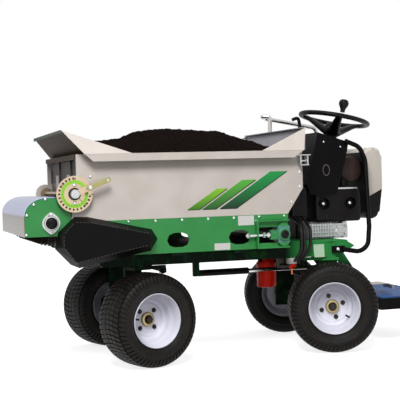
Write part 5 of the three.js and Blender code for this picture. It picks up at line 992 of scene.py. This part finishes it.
disc = in_row(sector(step, True), "zinc_plate", slots, start=first_slot, turn=step)
blank = (2 * math.pi - sweep - step) / blanks
after = first_slot - step / 2 - blank / 2
merged(disc, in_row(sector(blank, False), "zinc_plate", blanks, start=after, turn=-blank))
placed(disc, dial_at, near)
ring(disc, [(24, 0), (24, 23), (13, 23), (13, 0)], dial_at, far, 32)
ring(disc, [(24, 20), (34, 20), (34, 23), (24, 23)], dial_at, far, 32)
piece("slotted_dial", disc, "zinc_plate", replaced=["gate_dial"], smooth=30)
# painted shade: the black ring behind the open slots stands for the shadow behind the dial
back = drawn(
    (ring, [(55, 5), (71, 5), (71, 6), (55, 6)], dial_at, far, 64),
    (ring, [(20, 3), (24, 3), (24, 6), (20, 6)], dial_at, far, 64),
)
for k in range(3):
    a = math.radians(30 + 120 * k)
    out = Vector((math.cos(a), 0, math.sin(a)))
    behind = dial_at + Vector((0, 5.5, 0))
    swept(back, [behind + out * 22, behind + out * 57], 2.0, 8)
piece("dial_backing", back, "print_black", smooth=30)

# %% [markdown]
# The scale on the dial is a printed lime ring with a darker green mark for each slot. It carries no
# figures. A black collar and two bolts hold the disc on its bracket.

# %% Print the scale and fit the collar
face = dial_at.y - dial_thick
face_at = Vector((dial_at.x, face, dial_at.z))
scale = drawn((ring, [(44, 0), (58, 0), (58, 0.5), (44, 0.5)], face_at, near, 96))
piece("scale_ring", scale, "lime", smooth=30)
tick = drawn((brick, (48.5, 53.0), (-1.3, 1.3), (0.0, 0.5)))
ticks = in_row(tick, "deep_lime", slots, start=first_slot, turn=step)
placed(ticks, (dial_at.x, face - 0.4, dial_at.z), near)
piece("dial_marks", ticks, "deep_lime", smooth=30)
collar = drawn((ring, [(13, 0), (26, 0), (26, 3), (24.5, 4), (13, 4)], face_at, near, 40))
piece("dial_collar", collar, "print_black", smooth=30)
points = [((dial_at.x, face - 0.5, dial_at.z + rise), near) for rise in (37, -37)]
piece("dial_bolts", bolt_heads(points, 7.5, 5.0), "bright_zinc")

# %% [markdown]
# The lever is two flat bars: a plated arm from the shaft's hub to the dial's rim, and an olive-yellow
# handle bolted over its end, with a white disc at its tip where a hand pin's hole would be. Both ride
# with the shaft that they turn.

# %% Bend and bolt the lever
lean = math.radians(21.5)
along = Vector((math.cos(lean), 0, math.sin(lean)))
square = Vector((-math.sin(lean), 0, math.cos(lean)))


def on_lever(reach, y):
    """A point on the lever's line, at a reach from the shaft."""
    return Vector((dial_at.x, y, dial_at.z)) + along * reach


def flat_bar(shape, start, end, width, ys):
    """A flat bar with round ends, on the lever's line, between two values of y."""
    half = width / 2
    outline = []
    for stop, first in ((start, math.pi / 2), (end, -math.pi / 2)):
        for k in range(13):
            a = first + math.pi * k / 12
            outline.append(on_lever(stop + half * math.cos(a), ys[0]) + square * half * math.sin(a))
    slab(shape, outline, (0, ys[1] - ys[0], 0))


arm = drawn((flat_bar, 0, 72, 24, (-410.3, -415.3)))
piece("lever_arm", arm, "zinc_plate", "gate_shaft", ["dial_lever"], bevel=0.8)
boss_line = [(0, 0), (19.5, 0), (19.5, 17), (17, 20.5), (9.5, 21), (9.5, 24.2), (0, 24.4)]
boss = drawn((turned, boss_line, on_lever(0, -405.2), near, 32))
piece("lever_boss", boss, "cast_alloy", "gate_shaft")
handle = drawn((flat_bar, 86, 152, 22, (-416.0, -420.5)), (flat_bar, 62, 96, 20, (-415.4, -419.0)))
piece("lever_handle", handle, "olive_plate", "gate_shaft", bevel=0.8)
pin = drawn((turned, [(0, 0), (9, 0), (9, 4), (6, 7), (0, 8)], on_lever(70, -419.2), near, 6))
piece("lever_bolt", pin, "bright_zinc", "gate_shaft")
eye = drawn((turned, [(0, 0), (5.6, 0), (5.6, 0.5), (0, 0.5)], on_lever(150, -420.5), near, 20))
piece("lever_eye", eye, "label_white", "gate_shaft")

# %% [markdown]
# ## The brush bearing
# A cast two-bolt flange carries the end of the brush's shaft. Its outline is an oval drawn round three
# circles; a black rubber cap keeps the soil out, and a small grease nipple stands on its upper edge.

# %% Cast the flange and press in its cap
face_y, flange_thick = -375.8, 9


def on_bearing(x, y, z):
    """A point given from the bearing's centre, at a distance out from the face of the panel."""
    return (brush_at[0] + x, face_y - y, brush_at[2] + z)


outline = []
for k in range(48):
    a = 2 * math.pi * k / 48
    x, _, z = on_bearing(math.cos(a) * 37.5, 0, math.sin(a) * (36 + 9.5 * abs(math.sin(a)) ** 8))
    outline.append((x, z))
seat_line = [(0, 0), (31, 0), (30, 5), (27.5, 9), (24, 9.5), (0, 9.5)]
nipple_line = [(0, 0), (4, 0), (3.4, 4), (2.4, 7), (2.8, 8.5), (0, 10)]
flange = drawn(
    (side_plate, outline, (face_y, face_y - flange_thick)),
    (turned, seat_line, on_bearing(0, flange_thick, 0), near, 40),
    (turned, nipple_line, on_bearing(-10, 12, 33), near, 10),
)
piece("cast_flange", flange, "cast_alloy", replaced=["brush_bearing"], bevel=1.2)
cap_line = [(0, 14.4), (8, 14), (15, 12.4), (21, 9), (24, 4.6), (25, 0), (0, -1)]
cap = drawn((turned, cap_line, on_bearing(0, 18, 0), near, 40))
piece("bearing_cap", cap, "black_plastic")
points = [(on_bearing(0, flange_thick, rise), near) for rise in (-36, 36)]
piece("flange_bolts", bolt_heads(points, 6.5, 5), "bright_zinc")

# %% [markdown]
# ## Bend relief on the chain guard
# The guard is folded from one blank, along lines of short slots that the laser cuts. The slots are a
# row that the row tree repeats along each bend, flush with the guard's face.

# %% Lay the slots along the guard's bends
guard_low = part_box("chain_guard")[0] / MM
guard_head = Vector((guard_low.x + ORIGIN_X + 119, guard_low.y - 0.15, guard_low.z + 104))
guard_corners = [(-92, -11), (-50, -68), (-39, -75), (268, -16), (278, 9), (269, 32), (18, 87)]
guard_corners += [(-46, 91), (-92, 42)]
slot_pitch = 15
relief = bmesh.new()
for k, (x0, z0) in enumerate(guard_corners):
    x1, z1 = guard_corners[(k + 1) % len(guard_corners)]
    start, run = Vector((x0, 0, z0)), Vector((x1 - x0, 0, z1 - z0))
    count = int(run.length // slot_pitch)
    if count < 3:
        continue
    way = run.normalized()
    cut = drawn((brick, (-3.0, 3.0), (-0.15, 0.1), (-0.7, 0.7)))
    bmesh.ops.transform(cut, matrix=Matrix.Rotation(-math.atan2(way.z, way.x), 4, "Y"), verts=cut.verts)
    row = in_row(cut, "relief_grey", count, tuple(way * slot_pitch))
    margin = (run.length - slot_pitch * (count - 1)) / 2
    merged(relief, placed(row, start + way * margin + guard_head))
# painted highlight: the slots are flush dashes, lighter than the guard, for the light that their cut edges
# catch
piece("bend_relief", relief, "relief_grey", smooth=30)

# %% [markdown]
# ## Bent tubes
# The guard tube beside the engine, the chromed grab rail behind the hopper and the control lever are
# round tubes from a bender. The guard and the rail follow the routes of their CAD solids in wider bends,
# the rail as a thicker tube. The lever is thicker too, and ends in a bent grip of its own.

# %% Bend the tubes
guard_y = -318.3
route = [(500, guard_y, 461), (590, guard_y, 445), (632, guard_y, 474), (648, -302, 560), (681, -211.6, 872)]
route += [(652, -211.6, 934), (580, -211.6, 962)]
guard = drawn(
    (swept, rounded(route, 60, 8), 11.0, 20), (brick, (452, 514), (guard_y, -306.6), (447, 477))
)
piece("engine_guard", guard, "black_paint", replaced=["guard_tube"])
piece("guard_bolt", bolt_heads([((478, -318.4, 462), near)], 9.5, 7), "bright_zinc")
route = [(287.3, 250, 872), (380, 250, 872), (386, 250, 1112), (346, 268, 1110), (372, 290, 1102)]
route += [(646, 290, 1052), (664, 286, 1010), (600, 244, 930), (560, 240, 925), (560, 200.3, 925)]
rail = drawn((swept, rounded(route, 30, 8), 11.0, 18))
piece("chromed_rail", rail, "chrome", replaced=["grab_rail"])
route = [(500, 150, 1015), (506, 150, 1058), (499, 150, 1098), (466, 150, 1086)]
lever = drawn((swept, rounded(route, 26, 8), 8.5, 16))
piece("travel_lever", lever, "black_plastic", "control_lever", ["control_lever"])

# %% [markdown]
# ## The steering wheel
# A thick moulded rim on three spokes that fall towards a boss, with a spinner knob for one hand. The
# rim is a turned ring, each spoke is a swept bar that widens towards the boss, and the row tree sets
# the three of them.

# %% Mould the steering wheel
tilt, spokes_turned = math.radians(12), math.radians(45)
wheel_axis = Vector((math.sin(tilt), 0, math.cos(tilt)))
wheel_at = Vector((625.0, 0.0, 1077.0))
round_section = [2 * math.pi * k / 16 for k in range(16)]
rim_line = [(163 + 13.0 * math.cos(a), 11.5 * math.sin(a)) for a in round_section]
hub_line = [(0, 0), (20, -1), (30, -6), (36, -18), (39, -40), (34, -58), (27, -70), (24, -84), (0, -84)]
shape = drawn(
    (ring, rim_line, wheel_at, wheel_axis, 80), (turned, hub_line, wheel_at - wheel_axis * 16, wheel_axis, 40)
)
spoke_path = [(20, 0, -60), (50, 0, -50), (85, 0, -32), (118, 0, -14), (142, 0, -4), (160, 0, 0)]
spoke = drawn((swept, spoke_path, [26, 19, 15, 12.5, 11, 10], 14))
for vert in spoke.verts:
    vert.co.y *= 1.5
spokes = in_row(spoke, "black_plastic", 3, turn=2 * math.pi / 3)
u, v, w = axes_of(wheel_axis)
spin = math.atan2(Vector(far).dot(v), Vector(far).dot(u)) + spokes_turned
merged(shape, placed(spokes, wheel_at, wheel_axis, spin))
piece("moulded_wheel", shape, "black_plastic", "steering_wheel", ["steering_wheel"], 45)
low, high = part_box("spinner_knob")
knob_at = (low + high) / 2 / MM
knob_foot = Vector((knob_at.x + ORIGIN_X, knob_at.y, low.z / MM)) + Vector((-2, 0, 2))
knob_line = [(0, 62), (13, 60.5), (20, 55), (23.5, 46), (23, 36), (17, 24), (12, 14), (11, 0), (0, 0)]
knob = drawn((turned, knob_line, knob_foot, wheel_axis, 32))
piece("moulded_knob", knob, "black_plastic", "spinner", ["spinner_knob"], 45)

# %% [markdown]
# ## The engine
# A twin lies under a black shroud: finned cast heads below, the shroud with two round recesses for
# its bolts, the air cleaner, a ribbed cap, and the two-tone cover of the fan behind. The block is a
# few plain blocks; its upright fins repeat along the machine and its level fins upwards, in two rows.

# %% Cast the block and its fins
shape = drawn(
    (brick, (404, 612), (-148, 148), (502.8, 560)),
    (brick, (430, 610), (-128, 128), (558, 583)),
    (brick, (398, 576), (-182, 182), (512, 574)),
)
upright_fin = drawn((brick, (396, 401), (-188, 188), (508, 578)))
merged(shape, in_row(upright_fin, "cast_alloy", 9, (13.4, 0, 0)))
level_fin = drawn((brick, (404, 574), (-189, 189), (514, 518)))
merged(shape, in_row(level_fin, "cast_alloy", 4, (0, 0, 17)))
brick(shape, (520, 560), (-186, 186), (508, 566))
brick(shape, (572, 596), (-178, 178), (506, 580))
for x, z, r in ((540, 536, 14), (540, 558, 5), (526, 515, 5), (554, 515, 5), (584, 524, 7), (584, 562, 6)):
    turned(shape, [(0, 191), (r * 0.6, 191), (r, 188), (r, 170), (0, 170)], (x, 0, z), near, 20)
piece("finned_heads", shape, "cast_alloy", replaced=["engine_block"], smooth=35, bevel=1.2)

# %% [markdown]
# The shroud is a block with rounded edges; the recesses are cut from it, since that is how the mould's
# cores leave them. The cut is made once and kept, so the piece carries no modifier.

# %% Mould the shroud with its recesses
recess_xs, recess_z = (473, 610), 669
outline = [(429, 582.5), (668, 582.5), (668, 700), (655, 752), (445, 752), (429, 716)]
shape = drawn((side_plate, outline, (-190, 190)))
bmesh.ops.bevel(shape, geom=shape.edges[:], offset=16, segments=4, profile=0.5, affect="EDGES")
shroud = piece("engine_cowl", shape, "black_plastic", replaced=["engine_shroud"])
recess = bmesh.new()
for x in recess_xs:
    core = [(0, 20), (28, 20), (26, -22), (0, -22)]
    turned(recess, core, (x - ORIGIN_X, -190, recess_z), near, 40)
bmesh.ops.remove_doubles(recess, verts=recess.verts, dist=1e-4)
bmesh.ops.recalc_face_normals(recess, faces=recess.faces)
bmesh.ops.scale(recess, verts=recess.verts, vec=(MM, MM, MM))
cutter_mesh = bpy.data.meshes.new("cutter")
recess.to_mesh(cutter_mesh)
recess.free()
cutter = linked("cutter", cutter_mesh)
cut = shroud.modifiers.new("cut", "BOOLEAN")
cut.operation = "DIFFERENCE"
cut.solver = "EXACT"
cut.object = cutter
bpy.context.view_layer.update()
shroud.data = bpy.data.meshes.new_from_object(shroud.evaluated_get(bpy.context.evaluated_depsgraph_get()))
shroud.modifiers.remove(cut)
bpy.data.objects.remove(cutter)
shroud.data.polygons.foreach_set("use_smooth", [True] * len(shroud.data.polygons))
shroud.data.set_sharp_from_angle(angle=math.radians(40))
print("cut shroud has", len(shroud.data.polygons), "faces")

# %% [markdown]
# In each recess sits a bright bolt on a black boss, and a raised lip runs round its mouth. Above the
# shroud come the air cleaner and a ribbed filler cap, and a light strip runs along the shroud's side
# just under its rounded top edge.

# %% Fit the shroud's small parts
shape = bmesh.new()
for x in recess_xs:
    ring(shape, [(27.5, 0), (31.5, 0), (31, 3), (28.5, 3)], (x, -189.6, recess_z), near, 40)
    turned(shape, [(0, 12), (14, 12), (16, 0), (0, 0)], (x, -168.2, recess_z), near, 24)
brick(shape, (470, 640), (-118, 118), (752.5, 790))
piece("cowl_rings", shape, "black_plastic")
cleaner_line = [(0, 0), (52, 0), (60, 6), (62, 16), (62, 244), (60, 254), (52, 260), (0, 260)]
piece("air_cleaner", drawn((turned, cleaner_line, (645, 130, 828), near)), "brown_plastic")
shape = bolt_heads([((x, -180.2, recess_z), near) for x in recess_xs], 9.5, 8)
# a light strip along the shroud's side, just under its rounded top edge
brick(shape, (548, 646), (-190.6, -186), (736, 743))
piece("cowl_bolts", shape, "bright_zinc")
rib = drawn((brick, (20, 23.5), (-2.2, 2.2), (0, 26)))
cap = placed(in_row(rib, "black_plastic", 18, turn=math.pi / 9), (592, -150, 756))
turned(cap, [(0, 0), (20.5, 0), (20.5, 26), (17, 30), (0, 31)], (592, -150, 755), up, 36)
piece("filler_cap", cap, "black_plastic", smooth=35)

# %% [markdown]
# The fan cover is one big moulding in two colours: off-white above, black below a slanted line. Its
# body is a side outline pushed across and rounded hard on its edges; a cut along the line splits the
# faces, and each side of the cut takes its own plastic.

# %% Mould the fan cover
corners = [(700, 0, 768), (700, 0, 931.5), (790.5, 0, 931.5), (790.5, 0, 740), (770, 0, 589.5)]
corners += [(700, 0, 589.5), (700, 0, 760)]
shape = drawn((side_plate, [(p.x, p.z) for p in rounded(corners, 62, 7)[1:-1]], (-168, 168)))
flat_edges = [edge for edge in shape.edges if abs(edge.verts[0].co.y - edge.verts[1].co.y) < 1]
rear_edges = [edge for edge in flat_edges if min(vert.co.x for vert in edge.verts) > 701]
bmesh.ops.bevel(shape, geom=rear_edges, offset=17, segments=5, profile=0.5, affect="EDGES")
split_at = Vector((703, 0, 689))
slant = Vector((-(720 - 689), 0, 767 - 703)).normalized()
everything = shape.verts[:] + shape.edges[:] + shape.faces[:]
bmesh.ops.bisect_plane(shape, geom=everything, plane_co=split_at, plane_no=slant)
for one in shape.faces:
    middle = one.calc_center_median()
    one.material_index = 0 if (middle - split_at).dot(slant) > 0 and middle.x > split_at.x else 1
both = ["ivory_plastic", "black_plastic"]
piece("two_tone_cover", shape, both, replaced=["fan_cover"], smooth=50)

# %% [markdown]
# ## Filter, tank and hoses
# The spin-on oil filter is a drawn can with a rolled seam, under a head block on an arm. Nearer to the
# side of the machine hangs a small separator: a white head, a red bowl and a copper drain.

# %% Draw the filter and the separator
filter_at, separator_at = (208, -100, 0), (262, -284, 0)
can_line = [(0, 286), (38, 286), (43.5, 288.5), (45.6, 293), (45.6, 392), (46.4, 394), (46.4, 399)]
can_line += [(44, 402), (0, 402)]
can = drawn(
    (turned, can_line, filter_at, up, 48),
    (brick, (178, 238), (-130, -70), (402, 424)),
    (brick, (208, 411.7), (-116, -84), (416, 424)),
    (brick, (403.7, 411.7), (-116, -84), (416, 448)),
    (turned, [(0, 424), (11, 424), (11, 431), (0, 431)], filter_at, up, 6),
)
piece("filter_can", can, "red_paint")
head_line = [(0, 431.4), (27, 431.4), (28, 428), (27, 408), (24, 404), (0, 404)]
bowl_line = [(0, 404), (20, 404), (20, 394), (16, 386), (8, 381), (0, 380)]
drain_line = [(0, 381), (6, 381), (7, 376), (5, 370), (5, 356), (0, 356)]
for name, outline, sides, finish, slot in (
    ("separator_head", head_line, 32, "label_white", "beige_paint"),
    ("separator_bowl", bowl_line, 32, "red_paint", "red_paint"),
    ("separator_drain", drain_line, 16, "copper", "bare_steel"),
):
    piece(name, drawn((turned, outline, separator_at, up, sides)), finish)

# %% [markdown]
# Behind the hopper stands the oil tank, and three rubber hoses run from it over the rail to the valve
# under the frame, with a crimped sleeve at each end.

# %% Lay the hoses
routes = [
    [(306, -212, 612), (296, -330, 570), (290, -330, 450), (246, -290, 396), (214, -262, 396)],
    [(326, -212, 612), (314, -322, 560), (308, -328, 450), (268, -290, 400), (242, -262, 400)],
    [(350, -212, 612), (346, -318, 560), (336, -328, 474), (290, -304, 412), (272, -262, 408)],
]
hoses = drawn(*[(swept, rounded(route, 70, 10), 7.5, 14) for route in routes])
piece("pressure_hoses", hoses, "hose_rubber", replaced=["tank_and_hoses"])
tank = drawn((brick, (287.6, 372), (-230, 230), (606, 752)))
piece("oil_tank", tank, "black_plastic", bevel=14)
fittings = drawn((brick, (200, 290), (-266, -252.6), (386, 431.5)))
for route in routes:
    for end, beside, long in ((route[-1], route[-2], 26), (route[0], route[1], 24)):
        a, b = Vector(end), Vector(beside)
        swept(fittings, [a, a + (b - a).normalized() * long], 9.2, 12)
piece("hose_fittings", fittings, "dark_steel", bevel=1.0)

# %% [markdown]
# ## Small things on the panels
# The latch bracket at the rear edge of the hopper, the ribs of the front panel, the bright face of a
# frame upright, an oval ring on the console and two blank plates on the near side. The lettering of the
# photo is left off.

# %% Fit brackets and plates
latch = drawn(
    (brick, (241, 311), (-418, -378.8), (893, 897)),
    (brick, (262, 267), (-414, -379), (858, 893)),
    (brick, (296, 301), (-414, -379), (852, 893)),
    (brick, (264, 304), (-414, -380), (849, 853)),
    (turned, [(0, 0), (4, 0), (4, 30), (0, 30)], (266, -398, 870), (1, 0, 0), 12),
)
piece("latch_bracket", latch, "bright_zinc", bevel=1.5)
# painted highlight: the ribs carry the front wall's coat as lit, much lighter than the panel's painted shade
ribs = drawn(*[(brick, (-727.6, -726.2), (y - 34, y + 34), (664, 836)) for y in (-141, 141)])
piece("front_ribs", ribs, "rib_grey", bevel=0.4)
upright_line = [(359.5, 487.5), (413.5, 487.5), (416.5, 428.4), (365.5, 428.4)]
upright = drawn((side_plate, upright_line, (-307.6, -306.3)))
piece("upright_face", upright, "pale_green", bevel=0.4)
badge_z = 827
badge = drawn((ring, [(15, 0), (18, 0), (18, 0.8), (15, 0.8)], (484, -200.1, badge_z), near, 40))
for vert in badge.verts:
    vert.co.z = badge_z + (vert.co.z - badge_z) * 1.5
piece("oval_badge", badge, "front_grey")
plate_ys = (-376.6, -375.7)
plates = drawn((brick, (-25, 49), plate_ys, (592, 634)), (brick, (-137, -65), plate_ys, (489, 518)))
piece("blank_plates", plates, "label_white")

# %% [markdown]
# Three slanted stripes of green vinyl, each with a thin dark edge, are a plain layout on the panel.
# Each has a green of its own, which fades to a darker one below.


# %% Lay the stripes
def stripe_finish(title, top, foot, z_top, z_foot):
    """Vinyl that fades from one green to a darker one with height."""
    finish = moulded(title, top, top, 0.4, 3.0, 0.03)
    tree, shader, place = opened(finish)
    height = add(tree, "ShaderNodeSeparateXYZ", {"Vector": place}).outputs["Z"]
    span = {"From Min": z_foot * MM, "From Max": z_top * MM}
    fade = add(tree, "ShaderNodeMapRange", {"Value": height, **span})
    blend = add(tree, "ShaderNodeMix", {0: fade, 6: colour(foot), 7: colour(top)}, data_type="RGBA")
    plug(tree, shader, {"Base Color": blend})
    return finish


stripes = (
    ("stripe_short", "#8fd03c", "#3e7a26", [(-258, 668), (-203, 668), (-72, 757), (-119, 757)]),
    ("stripe_middle", "#62bd4c", "#2c5a2c", [(-190, 668), (-128, 668), (62, 792), (-1, 792)]),
    ("stripe_long", "#2ba253", "#1c2f26", [(-110, 668), (-33, 668), (211, 826), (132, 826)]),
)
for name, top, foot, outline in stripes:
    edge = drawn((side_plate, [(x + 4, z - 2) for x, z in outline], (-375.9, -375.65)))
    piece(name + "_edge", edge, "print_black")
    finishes[name] = stripe_finish(name.replace("_", " ") + " vinyl", top, foot, outline[2][1], outline[0][1])
    piece(name, drawn((side_plate, outline, (-376.3, -375.9))), name)

# %% [markdown]
# ## Platform mat and take-up
# The mat is blue rubber with short black dashes that give grip. A row of dashes repeats across the
# platform; the ones under the pedal are taken out. The take-up's bearing slides in its window on each
# side and is drawn along by a threaded rod with nuts.

# %% Set the mat's dashes and the take-up's parts
dash = drawn((brick, (-9, 9), (-3.2, 3.2), (-0.6, 0.45)))
row = in_row(dash, "print_black", 11, (28.6, 0, 0))
dashes = placed(in_row(row, "print_black", 18, (0, 30.4, 0)), (736, -258.4, 221.8))
under_pedal = [vert for vert in dashes.verts if vert.co.x < 870 and -160 < vert.co.y < -32]
bmesh.ops.delete(dashes, geom=under_pedal, context="VERTS")
piece("mat_dashes", dashes, "print_black", "platform")

slide_x, slide_z, rod_y = 181, 546, 390.8
washer_line = [(0, 0), (29, 0), (29, 4), (26, 6), (0, 6)]
dust_cap_line = [(0, 12), (9, 11.3), (16, 9), (21, 5), (22.6, 0), (0, -1)]
rod_nut_line = [(0, 0), (11, 0), (11, 9), (0, 9)]
for side, tag in ((-1, "near"), (1, "far")):
    out = (0, side, 0)
    bearing = drawn(
        (brick, (154, 208), sorted((side * 381.2, side * 400.4)), (508, 584)),
        (brick, (118, 156), sorted((side * 385.5, side * 397.0)), (529, 563)),
        (turned, washer_line, (slide_x, side * 400, slide_z), out, 40),
    )
    piece(tag + "_slide_bearing", bearing, "teal_paint", bevel=2.5)
    cap = drawn((turned, dust_cap_line, (slide_x, side * 405.6, slide_z), out, 40))
    piece(tag + "_slide_cap", cap, "black_plastic")
    rod = drawn((swept, [(4, side * rod_y, slide_z), (124, side * rod_y, slide_z)], 6.2, 16))
    for x in (8, 84, 104):
        turned(rod, rod_nut_line, (x, side * rod_y, slide_z), (1, 0, 0), 6)
    piece(tag + "_draw_rod", rod, "bright_zinc")

# %% [markdown]
# ## Finish

# %% Finish
print("finished")
